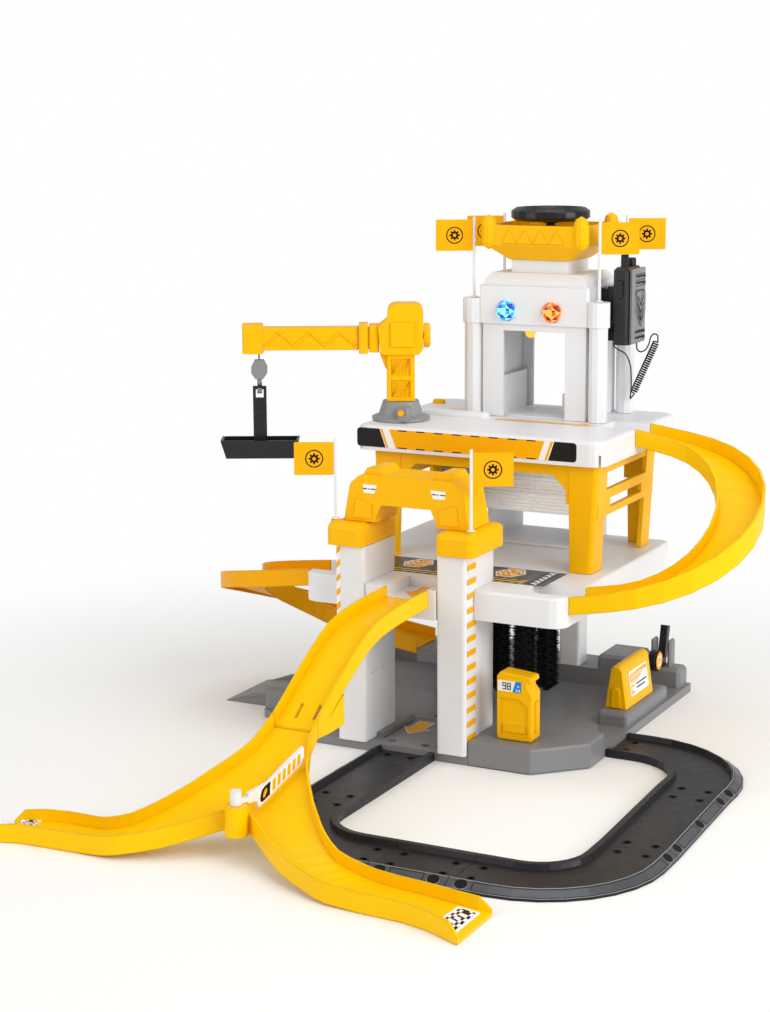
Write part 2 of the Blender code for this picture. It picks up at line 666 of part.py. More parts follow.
def top_deck():
    outline = rounded(rectangle(ROOF_LEFT, ROOF_RIGHT, ROOF_FRONT, ROOF_BACK), 12, 4)
    body = prism(outline, ROOF_Z - ROOF_H, ROOF_Z)
    rim = [e for e in body.edges if min(v.co.z for v in e.verts) > ROOF_Z - 0.01]
    bmesh.ops.bevel(body, geom=rim, offset=3.0, segments=2, affect='EDGES', profile=0.5)
    half = SLIDE_W / 2 - SLIDE_WALL
    low = ROOF_Z - SUNK
    leave = box(ROOF_RIGHT - 34, ROOF_RIGHT + 1, ROOF_SLIDE_Y - half, ROOF_SLIDE_Y + half,
                low, ROOF_Z + 1)
    hollow = box(ROOF_LEFT + 3, ROOF_RIGHT - 3, ROOF_FRONT + 3, ROOF_BACK - 3,
                 ROOF_Z - ROOF_H - 1, low - 3)
    ribs = [box(ROOF_LEFT + 2, ROOF_RIGHT - 2, y, y + 3, ROOF_Z - ROOF_H + GAP, low)
            for y in (STAND_FRONT - 1, STAND_BACK - 2)]
    shaft = box(TOWER_X - SHAFT_W / 2, TOWER_X + SHAFT_W / 2, TOWER_FRONT + WALL,
                TOWER_FRONT + TOWER_D - WALL, ROOF_Z - ROOF_H - 2, ROOF_Z + 6)
    plinth = box(TOWER_X - TOWER_W / 2 - 48, TOWER_X - TOWER_W / 2 + 14, TOWER_FRONT - 18,
                 TOWER_FRONT - SOCKET_R / 2, ROOF_Z - 2, ROOF_Z + 5, 3, "top", 2)
    seats = [box(x - 6, x + 6, y - 3.5, y + 3.5, ROOF_Z - 4, ROOF_Z + 1) for x, y in PEGS]
    return piece("top_deck", WHITE, body, ('-', hollow), ('+', ribs[0]), ('+', ribs[1]),
                 ('-', leave), ('+', plinth), ('-', shaft), *[('-', s) for s in seats])


PEGS = ((ROOF_LEFT + 11.0, 104.0), (TOWER_X - TOWER_W / 2 - 26.0, TOWER_FRONT + 2.0))


def deck_pegs():
    for number, (x, y) in enumerate(PEGS, 1):
        low = ROOF_Z - 4 + GAP
        piece(f"deck_peg_{number}", YELLOW,
              box(x - 6 + GAP, x + 6 - GAP, y - 3.5 + GAP, y + 3.5 - GAP, low, ROOF_Z + 4,
                  1.5, "top", 2))


def tower_shell():
    """Lift shaft with a doorway front and back, a thick head and four flag sockets."""
    x0, x1 = TOWER_X - TOWER_W / 2, TOWER_X + TOWER_W / 2
    y0, y1 = TOWER_FRONT, TOWER_FRONT + TOWER_D
    low = ROOF_Z + GAP
    body = box(x0 + HEAD_OVER, x1 - HEAD_OVER, y0 + HEAD_OVER, y1 - HEAD_OVER, low, HEAD_Z + 1)
    head = box(x0, x1, y0, y1, HEAD_Z, SHOULDER_Z, 1.5)
    roof = loft([[Vector(p) for p in ((x0 + i, y0 + i, z), (x1 - i, y0 + i, z),
                                      (x1 - i, y1 - i, z), (x0 + i, y1 - i, z))]
                 for i, z in ((3.5, SHOULDER_Z - 1), (3.5, SHOULDER_Z + 5),
                              (9, TOWER_TOP))])
    neck = box(TOWER_X - NECK_W / 2, TOWER_X + NECK_W / 2, TOWER_Y - NECK_D / 2,
               TOWER_Y + NECK_D / 2, TOWER_TOP - 2, CROWN_Z - GAP)
    sockets = []
    holes = []
    for x, y in SOCKETS:
        sockets.append(rod(SOCKET_R, SOCKET_Z - SOCKET_H, SOCKET_Z, (x, y), sides=14))
        sockets.append(rod(SOCKET_R - 1.5, low, SOCKET_Z - SOCKET_H + 1, (x, y), sides=10))
        holes.append(rod(POLE_R + GAP, SOCKET_Z - 12, SOCKET_Z + 1, (x, y), sides=8))
    inside = box(TOWER_X - SHAFT_W / 2, TOWER_X + SHAFT_W / 2, y0 + WALL, y1 - WALL,
                 low - 1, SHOULDER_Z + 4)
    door = box(TOWER_X - DOOR_W / 2, TOWER_X + DOOR_W / 2, y0 - 1, y1 + 1, low - 1,
               ROOF_Z + DOOR_H)
    shaft_hole = rod(SHAFT_R + GAP, SHOULDER_Z, CROWN_Z + 1, (TOWER_X, TOWER_Y))
    screw_hole = rod(SCREW_R + GAP, SHOULDER_Z, TOWER_TOP - 3, (SCREW_X, SCREW_Y), sides=14)
    lamp_holes = [rod(LAMP_R - 1.5, y0 - 1, y0 + 4, (x, LAMP_Z), "y", 14) for x in LAMP_XS]
    bracket_seat = box(x1 - 4, x1 + 1, BRACKET_Y - 6, BRACKET_Y + 6, BRACKET_Z - 6, BRACKET_Z + 6)
    steps = [('+', bm) for bm in (head, roof, neck, *sockets)]
    steps += [('-', bm) for bm in (inside, door, shaft_hole, screw_hole, *lamp_holes,
                                   bracket_seat, *holes)]
    return piece("tower_shell", WHITE, body, *steps)


SOCKETS = [(TOWER_X + s * (TOWER_W / 2 + 8), y)
           for s in (-1, 1) for y in (TOWER_FRONT + 6, TOWER_FRONT + TOWER_D - 4)]
LAMP_XS = (TOWER_X - 26, TOWER_X + 18)
LAMP_Z = SHOULDER_Z - 22
BRACKET_Y = TOWER_FRONT + 38
BRACKET_Z = SET_Z + SET_H - 26


def shaft_frame():
    """Side walls of the shaft between the decks, open at the front and back."""
    low, high = DECK_Z + GAP, ROOF_Z - ROOF_H - GAP
    y0, y1 = TOWER_FRONT + HEAD_OVER, TOWER_FRONT + TOWER_D - HEAD_OVER
    x0, x1 = TOWER_X - SHAFT_W / 2 - 4, TOWER_X + SHAFT_W / 2 + 4
    body = box(x0, x1, y0, y1, low, high)
    inside = box(x0 + 4, x1 - 4, y0 - 1, y1 + 1, low + 2, high + 1)
    hole = rod(2.5 + GAP, low - 1, low + 5, (SCREW_X, SCREW_Y), sides=12)
    return piece("shaft_frame", WHITE, body, ('-', inside), ('-', hole))


def shutter_panel():
    """Ribbed roller shutter that hangs below the top deck, in front of the shaft."""
    high = ROOF_Z - SUNK - 3 - GAP
    rows = 14
    drop = 55.0
    y = TOWER_FRONT - 8
    front = []
    for k in range(rows):
        z = high - drop * k / rows
        front += [(y, z), (y - 1.8, z - drop / rows * 0.35), (y - 1.8, z - drop / rows * 0.75)]
    outline = [(y + 2, high), *front, (y, high - drop), (y + 2, high - drop)]
    return piece("shutter_panel", STEEL_GREY,
                 prism(outline, STAND_LEFT + 30, STAND_RIGHT - 36, "x"), smooth=False)


def tower_crown():
    """Tapered bowl under a square band with zigzag ribs and a round post at each corner."""
    w, d = CROWN_W / 2, CROWN_D / 2
    z0 = CROWN_Z
    z1 = z0 + CROWN_TAPER
    z2 = z1 + CROWN_BAND
    rings = []
    for x, y, z in ((NECK_W / 2 + 3, NECK_D / 2 + 3, z0), (w, d, z1), (w, d, z2)):
        rings.append([Vector((TOWER_X + a, TOWER_Y + b, z))
                      for a, b in rounded(rectangle(-x, x, -y, y), 5, 2)])
    body = loft(rings)
    hollow = prism(rounded(rectangle(TOWER_X - w + 4, TOWER_X + w - 4, TOWER_Y - d + 4,
                                     TOWER_Y + d - 4), 4, 2), z1 + 2.3, z2 + 1)
    hub = rod(9, z1 - 2, z2 - 2, (TOWER_X, TOWER_Y))
    bore = rod(SHAFT_R + GAP, z0 - 1, z2 + 2, (TOWER_X, TOWER_Y), sides=14)
    steps = [('-', hollow), ('+', hub), ('-', bore)]
    for sx in (-1, 1):
        for sy in (-1, 1):
            x, y = TOWER_X + sx * (w - 4), TOWER_Y + sy * (d - 4)
            steps.append(('+', turned([(0, z1 - 4), (KNOB_R - 2, z1 - 1), (KNOB_R, z1 + 3),
                                       (KNOB_R, z1 + KNOB_H - 9), (KNOB_R * 0.75, z1 + KNOB_H - 3),
                                       (0, z1 + KNOB_H)], (x, y, 0), sides=10)))
    for sy in (-1, 1):
        face = TOWER_Y + sy * d
        for k in range(4):
            x = TOWER_X + (k - 1.5) * 15
            rib = [(x - 7, z1 + 2), (x, z1 + 14), (x + 7, z1 + 2)]
            steps.append(('+', prism(rib, face - 1.2, face + 1.2, "y")))
    return piece("tower_crown", YELLOW, body, *steps)


def gear(teeth, pitch, height, centre, z, phase):
    """A spur gear outline with flat-topped teeth that are narrow enough to run freely."""
    points = []
    out, root = pitch + 1.5, pitch - 2.1
    step = TAU / teeth
    for k in range(teeth):
        a = phase + step * k
        for r, part in ((root, -0.28), (out, -0.12), (out, 0.12), (root, 0.28)):
            points.append((centre[0] + r * math.cos(a + part * step),
                           centre[1] + r * math.sin(a + part * step)))
    return prism(points, z, z + height)


def steering_wheel():
    """The wheel, its shaft down into the head and the gear that drives the lift bar."""
    hub_z = WHEEL_Z - 1
    rim_n, tube_n = 24, 6
    rim = bmesh.new()
    rings = []
    for i in range(rim_n):
        a = TAU * i / rim_n
        ring = []
        for j in range(tube_n):
            b = TAU * (j + 0.5) / tube_n
            r = WHEEL_R - WHEEL_TUBE + WHEEL_TUBE * math.cos(b)
            z = WHEEL_Z + WHEEL_TUBE * 1.15 * math.sin(b)
            ring.append(rim.verts.new((TOWER_X + r * math.cos(a), TOWER_Y + r * math.sin(a), z)))
        rings.append(ring)
    for i in range(rim_n):
        for j in range(tube_n):
            n, k = (i + 1) % rim_n, (j + 1) % tube_n
            rim.faces.new((rings[i][j], rings[i][k], rings[n][k], rings[n][j]))
    hub = turned([(0, hub_z - 7), (7, hub_z - 7), (10, hub_z - 3), (10, hub_z + 2),
                  (7, hub_z + 4.5), (0, hub_z + 4.5)], (TOWER_X, TOWER_Y, 0), sides=14)
    steps = [('+', hub)]
    for angle in (90, 210, 330):
        spoke = box(TOWER_X + 6, TOWER_X + WHEEL_R - WHEEL_TUBE, TOWER_Y - 4, TOWER_Y + 4,
                    WHEEL_Z - 3, WHEEL_Z + 2.5)
        steps.append(('+', lean(spoke, angle, 'Z', (TOWER_X, TOWER_Y, 0))))
    steps.append(('+', rod(SHAFT_R, GEAR_Z - GEAR_H - 4, hub_z - 6, (TOWER_X, TOWER_Y))))
    toward = math.atan2(SCREW_DY, SCREW_DX)
    steps.append(('+', gear(GEAR_TEETH, GEAR_PITCH, GEAR_H, (TOWER_X, TOWER_Y),
                            GEAR_Z - GEAR_H - GAP, toward)))
    return piece("steering_wheel", BLACK, rim, *steps)


def lift_screw():
    """A square bar twisted to a steady lead, with the driven gear at its top."""
    low, high = DECK_Z + 4, GEAR_Z - GEAR_H - 2
    turn_step = 72.0
    rise = SCREW_LEAD * turn_step / 360
    count = int(round((high - low) / rise))
    rings = []
    for k in range(count + 1):
        z = low + (high - low) * k / count
        a = -TAU * (z - low) / SCREW_LEAD
        rings.append([Vector((SCREW_X + SCREW_R * math.cos(a + TAU * q / 4),
                              SCREW_Y + SCREW_R * math.sin(a + TAU * q / 4), z))
                      for q in range(4)])
    bar = loft(rings)
    pin = rod(2.5, DECK_Z - 3, low + 2, (SCREW_X, SCREW_Y), sides=12)
    cap = rod(SCREW_R, high - 1, TOWER_TOP - 4, (SCREW_X, SCREW_Y), sides=14)
    away = math.atan2(-SCREW_DY, -SCREW_DX) + math.pi / GEAR_TEETH
    wheel = gear(GEAR_TEETH, GEAR_PITCH, GEAR_H, (SCREW_X, SCREW_Y), GEAR_Z - GEAR_H - GAP, away)
    return piece("lift_screw", GREY, bar, ('+', pin), ('+', cap), ('+', wheel), smooth=False)


def lift_car():
    """Open cage: a floor, two low side walls and a nut round the twisted bar."""
    z = ROOF_Z + 1.5
    x0, x1 = TOWER_X - CAR_W / 2, TOWER_X + CAR_W / 2
    y0, y1 = TOWER_Y - CAR_D / 2, TOWER_Y + CAR_D / 2
    body = box(x0, x1, y0, y1, z - CAR_FLOOR, z + CAR_WALL_H)
    inside = box(x0 + 2.5, x1 - 2.5, y0 - 1, y1 + 1, z, z + CAR_WALL_H + 1)
    nut = box(SCREW_X - 9, x1 - 1, SCREW_Y - 9, SCREW_Y + 9, z - 1, z + 16)
    bore = rod(SCREW_R + 0.5, z - CAR_FLOOR - 1, z + 18, (SCREW_X, SCREW_Y), sides=20)
    grooves = [box(x0 + 14, x1 - 26, y0 + k, y0 + k + 2, z - 1, z + 1)
               for k in (12, 24, 36, 48)]
    return piece("lift_car", YELLOW, body, ('-', inside), ('+', nut), ('-', bore),
                 *[('-', g) for g in grooves])


def lamps():
    """Faceted lamp lenses: two on the head and one under the doorway's lintel."""
    for name, spec, x in (("lamp_blue", BLUE, LAMP_XS[0]), ("lamp_orange", RED, LAMP_XS[1])):
        y = TOWER_FRONT
        dome = turned([(0, -y - 3), (LAMP_R - 1.5 - GAP, -y - 3), (LAMP_R - 1.5 - GAP, -y + GAP),
                       (LAMP_R, -y + GAP), (LAMP_R, -y + 1.2), (LAMP_R * 0.7, -y + 3.6),
                       (LAMP_R * 0.3, -y + 4.8), (0, -y + 4.8)], (0, 0, 0), sides=8)
        bmesh.ops.rotate(dome, matrix=Matrix.Rotation(math.pi / 2, 3, 'X'), verts=dome.verts)
        bmesh.ops.translate(dome, vec=(x, 0, LAMP_Z), verts=dome.verts)
        piece(name, spec, dome, smooth=False)
    z = ROOF_Z + DOOR_H - GAP
    drop = turned([(0, z), (5, z), (5, z - 2), (3, z - 5), (0, z - 5.5)],
                  (TOWER_X - 4, TOWER_FRONT + WALL / 2 + HEAD_OVER / 2, 0), sides=8)
    bmesh.ops.scale(drop, vec=(1, 0.3, 1), verts=drop.verts,
                    space=Matrix.Translation((0, -TOWER_FRONT - 4.2, 0)))
    piece("lamp_amber", AMBER, drop, smooth=False)


def side_slides():
    right = u_turn((ROOF_RIGHT + GAP, ROOF_SLIDE_Y), (DECK_RIGHT + GAP, SLIDE_Y), RIGHT_REACH,
                   ROOF_Z - SUNK, DECK_Z - SUNK)
    left = u_turn((DECK_LEFT - GAP, SLIDE_Y), (LEFT_END_X, LEFT_END_Y), LEFT_REACH,
                  DECK_Z - SUNK, LANDING_Z + 1)
    piece("right_slide", YELLOW,
          loft(along(right, slide_section(raise_side=-1), ((1, 0, 0), (-1, 0, 0)))))
    piece("left_slide", YELLOW,
          loft(along(left, slide_section(raise_side=1), ((-1, 0, 0), (1, 0, 0)))))


# Middle line of the front slide: straight down to the fork, whose branches turn aside
FORK_X = 7.0
JOINT = (FORK_X, -326.0, 76.0)
FRONT_ROUTE = ((12.0, PILLAR_FRONT - GAP, DECK_Z - SUNK), (11.0, -190.0, 136.0),
               (10.0, -238.0, 129.0), (9.0, -281.0, 107.0), JOINT)
GUSSET_Y = -287.0              # where the side plates under the joint begin
GUSSET_Z = 69.5
GROUND = 0.2                   # the branches' feet stand this far off the floor

# Stations of a branch: outer edge, inner edge, and the floor's height at each. Sideways is
# counted from FORK_X. In the stem the inner edge is the middle line.
STEM = (((20, -326), (0, -326), 76, 76), ((22, -340), (0, -340), 67, 67),
        ((26, -350), (0, -352), 59, 58), ((30.5, -360), (0, -364), 54, 52),
        ((36.5, -370), (0, -377), 48.5, 44.5), ((44, -380), (0, -390), 42.5, 36.5))
BEND = (((52, -390), (0, -409.5), 36, 27.5), ((61.5, -400), (10, -411.5), 29.5, 26.5),
        ((72, -410), (28, -425), 23, 21), ((88, -419.5), (50, -441), 15, 15),
        ((107, -421), (78, -454.5), 9.5, 10))
RIGHT_RUN = (((121, -422.5), (100, -463), 7.2, 7.6), ((138, -424), (128, -465), 6.3, 6.4),
             ((163, -426.5), (160, -466.5), 6, 6), ((185, -430.5), (182, -471.5), 6, 6),
             ((203, -430.5), (202, -480.5), 4.8, 4.8), ((211, -428.5), (211, -485), 2, 2))
LEFT_RUN = (((119, -418.5), (94, -455.5), 7.2, 7.6), ((132, -416.3), (112, -455), 6.3, 6.4),
            ((147, -415.8), (137, -456), 6, 6), ((166, -419.5), (164, -457.5), 6, 6),
            ((181, -424.5), (181, -463), 4.8, 4.8), ((188.6, -427.5), (188.6, -465), 2, 2))
PIVOT = (FORK_X + 2, -417.0)
POST_R = 8.5
POST_TOP = 43.0
PIN_R = 3.0
ARM_START = 10.5               # the arm's near and far ends, from the pivot
ARM_LEN = 65.0
ARM_LIFT = 3.0                 # clearance over the floor
ARM_TURN = -19.0               # degrees at rest, where the arm lies along the right wall


def front_slide():
    """Upper run: it leaves the gate level and steepens, and it has slots at its foot."""
    path = smooth_path(FRONT_ROUTE, 3)
    body = loft(along(path, slide_section(), ((0, -1, 0), (0, -1, 0))))
    y, z = JOINT[1] + 8, JOINT[2]
    slots = [box(JOINT[0] + dx, JOINT[0] + dx + 2.2, y, y + 12, z - 4, z + 16)
             for dx in (-5, 11)]
    plates = []
    for side in (-1, 1):
        outer = SLIDE_W / 2 - 0.2
        rings = []
        for lean_x, y, low, high in ((1.8, GUSSET_Y, GUSSET_Z + 1.5, 95),
                                     (1.0, GUSSET_Y - 18, GUSSET_Z, 84),
                                     (0.0, JOINT[1] + 0.1, GUSSET_Z, JOINT[2] - 1)):
            xs = [FORK_X + lean_x + side * w for w in (outer - SLIDE_WALL, outer)]
            rings.append([Vector((xs[0], y, low)), Vector((xs[1], y, low)),
                          Vector((xs[1], y, high)), Vector((xs[0], y, high))])
        plates.append(loft(rings))
    return piece("front_slide", YELLOW, body, *[('+', p) for p in plates],
                 *[('-', s) for s in slots])


def branch(way, run, low, high, wall=0.0, over=0.0, reach=0.0):
    """One branch as a solid between its edges: whole, or its hollow set in by the wall."""
    stations = STEM + BEND + run
    outer, inner = [], []
    for (u, y), (iu, iy), oz, iz in stations:
        outer.append((FORK_X + way * u, y, oz))
        inner.append((FORK_X + way * iu, iy, iz))
    first, last = len(STEM), len(STEM) + len(BEND)
    outer, inner = (curve[:2 * first:2] + curve[2 * first:2 * last] + curve[2 * last::2]
                    for curve in (smooth_path(outer, 2), smooth_path(inner, 2)))
    stem = first
    rings = []
    last = len(outer) - 1
    for i, (o, n) in enumerate(zip(outer, inner)):
        across = Vector((n.x - o.x, n.y - o.y, 0)).normalized()
        o2 = o + across * wall
        n2 = n + across * over if i < stem else n - across * wall
        ahead = Vector((0, 0, 0))
        if reach and i in (0, last):
            flat = (outer[0] - outer[1]) if i == 0 else (outer[last] - outer[last - 1])
            ahead = Vector((flat.x, flat.y, 0)).normalized() * reach
        top = high
        if high < 20 and i == last:
            top = high * 0.35
        sides = (o2 + ahead, n2 + ahead)
        rings.append([Vector((p.x, p.y, max(p.z + low, GROUND))) for p in sides]
                     + [Vector((p.x, p.y, p.z + top)) for p in reversed(sides)])
    return loft(rings)


def slide_fork():
    """Two channels cut through one body, so that each runs clear into the other."""
    body = branch(-1, LEFT_RUN, -SLIDE_DOWN, SLIDE_UP, over=1.0)
    other = branch(1, RIGHT_RUN, -SLIDE_DOWN - 0.1, SLIDE_UP - 0.1, over=1.4)
    for bm in (body, other):
        bmesh.ops.translate(bm, vec=(0, -GAP, 0.15), verts=bm.verts)
    left_cut = branch(-1, LEFT_RUN, 0.0, 60, SLIDE_WALL, 2.0, 3.0)
    right_cut = branch(1, RIGHT_RUN, 0.05, 61, SLIDE_WALL, 2.3, 3.0)
    post = rod(POST_R, POST_TOP - 23, POST_TOP, PIVOT, sides=14)
    seat = rod(PIN_R + GAP, POST_TOP - 15, POST_TOP + 1, PIVOT, sides=12)
    return piece("slide_fork", YELLOW, body, ('+', other), ('-', left_cut), ('-', right_cut),
                 ('+', post), ('-', seat))


def track_section(left_w, right_w):
    """Floor between two rails; the outer rail is wider and carries the grey inlays."""
    half = TRACK_W / 2
    return lambda t: [(-half, 0), (half, 0), (half, RAIL_FOOT),
                      (half - right_w + 1, RAIL_H), (half - right_w, RAIL_H),
                      (half - right_w - 1.5, TRACK_FLOOR), (-half + left_w + 1.5, TRACK_FLOOR),
                      (-half + left_w, RAIL_H), (-half, RAIL_H)]


def corner(x, y, start, first=CORNER_END, last=CORNER_END, radius=TRACK_R, steps=8):
    """Middle line of a corner piece: a quarter turn with a straight stretch at each end."""
    angles = [math.radians(start + 90 * k / steps) for k in range(steps + 1)]
    turn = [Vector((x + radius * math.cos(a), y + radius * math.sin(a), 0)) for a in angles]
    ways = [Vector((-math.sin(a), math.cos(a), 0)) for a in (angles[0], angles[-1])]
    return [turn[0] - ways[0] * first, *turn, turn[-1] + ways[1] * last]


def tracks():
    """Six snap-together pieces that run from the gate round to the right of the base."""
    left_x, right_x = GATE_X + TRACK_R, TRACK_RIGHT_X - TRACK_R
    low_y, high_y = TRACK_FRONT_Y + TRACK_R, TRACK_ENTRY_Y - REAR_R
    rear_x = REAR_X - REAR_R
    pieces = {
        "track_gate": [Vector((GATE_X, BASE_FRONT - GAP, 0)),
                       Vector((GATE_X, low_y + CORNER_END, 0))],
        "track_corner_left": corner(left_x, low_y, 180),
        "track_front": [Vector((left_x + CORNER_END, TRACK_FRONT_Y, 0)),
                        Vector((right_x - CORNER_END, TRACK_FRONT_Y, 0))],
        "track_corner_right": corner(right_x, low_y, 270),
        "track_side": [Vector((TRACK_RIGHT_X, low_y + CORNER_END, 0)),
                       Vector((REAR_X, high_y - REAR_END, 0))],
        "track_corner_rear": corner(rear_x, high_y, 0, REAR_END,
                                    rear_x - BASE_RIGHT - 1 - GAP, REAR_R),
    }
    middle = (RAIL_W - OUTER_RAIL_W) / 2
    for name, path in pieces.items():
        end = (path[-1] - path[-2]).normalized() * (GAP if name != "track_corner_rear" else 0)
        path[-1] = path[-1] - end
        ends = (straight(path[0], path[1]), straight(path[-2], path[-1]))
        body = loft(along(path, track_section(RAIL_W, OUTER_RAIL_W), ends))
        steps = []
        for at in (0, -1):
            here, inward = path[at], (path[1] - path[0] if at == 0 else path[-2] - path[-1])
            inward = inward.normalized()
            outward = Vector((inward.y, -inward.x, 0)) * (1 if at == 0 else -1)
            for s in (-11, 11):
                c = here + inward * 11 + outward * (middle + s)
                steps.append(('-', rod(2.6, -1, TRACK_FLOOR + 1, (c.x, c.y), sides=8)))
        piece(name, BLACK, body, *steps)


def straight(a, b):
    """Direction of a track piece at one end: corners end square to the axes."""
    d = b - a
    if abs(d.x) > abs(d.y):
        return (math.copysign(1, d.x), 0, 0)
    return (0, math.copysign(1, d.y), 0)


def crane():
    """Grey foot on the deck, and a mast, a head and a boom that turn on it."""
    base_z = ROOF_Z + GAP
    foot = turned([(0, base_z), (CRANE_BASE_R, base_z), (CRANE_BASE_R, base_z + 3),
                   (CRANE_BASE_R - 6, base_z + 5), (CRANE_BASE_R - 10, base_z + CRANE_BASE_H),
                   (WELL_R, base_z + CRANE_BASE_H), (WELL_R, base_z + 5), (0, base_z + 5)],
                  (CRANE_X, CRANE_Y, 0), sides=16)
    ear_y = CRANE_Y - 23.4
    ear = box(CRANE_X + 8, CRANE_X + 17, ear_y, CRANE_Y - 12.3, base_z + 1.3, base_z + 14)
    screw = (CRANE_X + 12.5, base_z + 9.1)
    seat = rod(1.6 + GAP, -2, 4, screw, "y", 8)
    bmesh.ops.translate(seat, vec=(0, ear_y, 0), verts=seat.verts)
    piece("crane_foot", GREY, foot, ('+', ear), ('-', seat))
    head = rod(2.8, -2.4, -GAP, screw, "y", 10)
    stem = rod(1.6, -1, 3.5, screw, "y", 8)
    for bm in (head, stem):
        bmesh.ops.translate(bm, vec=(0, ear_y, 0), verts=bm.verts)
    piece("crane_screw", YELLOW, head, ('+', stem))
    turn_point = (CRANE_X, CRANE_Y, 0)

    def aim(bm):
        return lean(bm, BOOM_TURN, 'Z', turn_point)
    low = base_z + 5 + GAP
    mast_top = base_z + MAST_TOP
    half = MAST_W / 2
    peg = rod(WELL_R - 0.1 - GAP, low, base_z + CRANE_BASE_H + 2, (CRANE_X, CRANE_Y), sides=14)
    mast = box(CRANE_X - half, CRANE_X + half, CRANE_Y - half * 0.8, CRANE_Y + half * 0.8,
               base_z + CRANE_BASE_H + GAP, mast_top + 2, 1.5)
    panels = [box(CRANE_X - half + 4, CRANE_X + half - 4, CRANE_Y - half * 0.8 - 1,
                  CRANE_Y - half * 0.8 + 0.8, z, z + 15)
              for z in (base_z + CRANE_BASE_H + 4, base_z + CRANE_BASE_H + 23)]
    head_low = mast_top
    head = prism(rounded([(CRANE_X - HEAD_W / 2 + 2, head_low), (CRANE_X + HEAD_W / 2 - 4, head_low),
                          (CRANE_X + HEAD_W / 2, head_low + 5),
                          (CRANE_X + HEAD_W / 2, head_low + HEAD_H),
                          (CRANE_X - HEAD_W / 2 + 9, head_low + HEAD_H),
                          (CRANE_X - HEAD_W / 2 + 8, head_low + HEAD_H - 14),
                          (CRANE_X - HEAD_W / 2, head_low + HEAD_H - 20)],
                         [3, 0, 0, 7, 7, 0, 2], 3), CRANE_Y - 13, CRANE_Y + 13, "y")
    plate = box(CRANE_X - 9, CRANE_X + 12, CRANE_Y - 14.4, CRANE_Y - 12, head_low + 7,
                head_low + 29)
    brace = prism([(CRANE_X - half - 6, head_low + 1), (CRANE_X - half + 2, head_low + 1),
                   (CRANE_X - half + 2, head_low - 18), (CRANE_X - half - 2, head_low - 10)],
                  CRANE_Y - 7, CRANE_Y + 7, "y")
    collar_x = CRANE_X - HEAD_W / 2
    boom_z = head_low + 14
    collars = [box(collar_x - 8, collar_x + 1, CRANE_Y - 10.5, CRANE_Y + 10.5, boom_z - 12,
                   boom_z + 12, 2), box(collar_x - 17, collar_x - 9, CRANE_Y - 11.5,
                                        CRANE_Y + 11.5, boom_z - 13, boom_z + 13, 2)]
    neck = box(collar_x - 14, collar_x + 1, CRANE_Y - 8, CRANE_Y + 8, boom_z - 9, boom_z + 9)
    bore = rod(3.2 + GAP, CRANE_X + HEAD_W / 2 - 8, CRANE_X + HEAD_W / 2 + 1,
               (CRANE_Y, head_low + 16), "x", 12)
    piece("crane_mast", YELLOW, aim(mast), ('+', aim(peg)), *[('-', aim(p)) for p in panels],
          ('+', aim(head)), ('+', aim(plate)), ('+', aim(brace)), ('+', aim(neck)),
          *[('+', aim(c)) for c in collars], ('-', aim(bore)))
    x1 = collar_x - 17 - GAP
    x0 = x1 - BOOM_LEN
    boom = box(x0, x1, CRANE_Y - 8, CRANE_Y + 8, boom_z - BOOM_H / 2, boom_z + BOOM_H / 2, 1.5)
    hollow = box(x0 + 16, x1 - 6, CRANE_Y - 5.5, CRANE_Y + 5.5, boom_z - BOOM_H / 2 - 1,
                 boom_z + BOOM_H / 2 - 3)
    steps = [('-', hollow)]
    cells = 6
    bends = [(x0 + 17 + (x1 - x0 - 20) * k / cells, boom_z + (5 if k % 2 else -7))
             for k in range(cells + 1)]
    zigzag = [(a, z + 2.4) for a, z in bends] + [(a, z) for a, z in reversed(bends)]
    for sy in (-1, 1):
        y0, y1 = sorted((CRANE_Y + sy * 7.2, CRANE_Y + sy * 9))
        steps.append(('+', prism(zigzag, y0, y1, "y")))
    end = box(x0 - 3, x0 + 15, CRANE_Y - 9.5, CRANE_Y + 9.5, boom_z - 13, boom_z + 13, 2.5)
    line = rod(THREAD_R + GAP, boom_z - 14, boom_z + 11.5, (hoist_x(), CRANE_Y), sides=8)
    steps += [('+', end), ('-', line)]
    piece("crane_boom", YELLOW, aim(boom), *[(s, aim(b)) for s, b in steps])
    knob_x = CRANE_X + HEAD_W / 2
    knob = turned([(0, knob_x - 7), (3.2, knob_x - 7), (3.2, knob_x + 0.6), (11, knob_x + 0.6),
                   (11, knob_x + 5), (9, knob_x + 6.5), (0, knob_x + 6.5)],
                  (0, CRANE_Y, head_low + 16), "x", 12)
    piece("winch_knob", YELLOW, aim(knob))
    hoist(aim, boom_z)


def hoist_x():
    return CRANE_X - HOIST_REACH


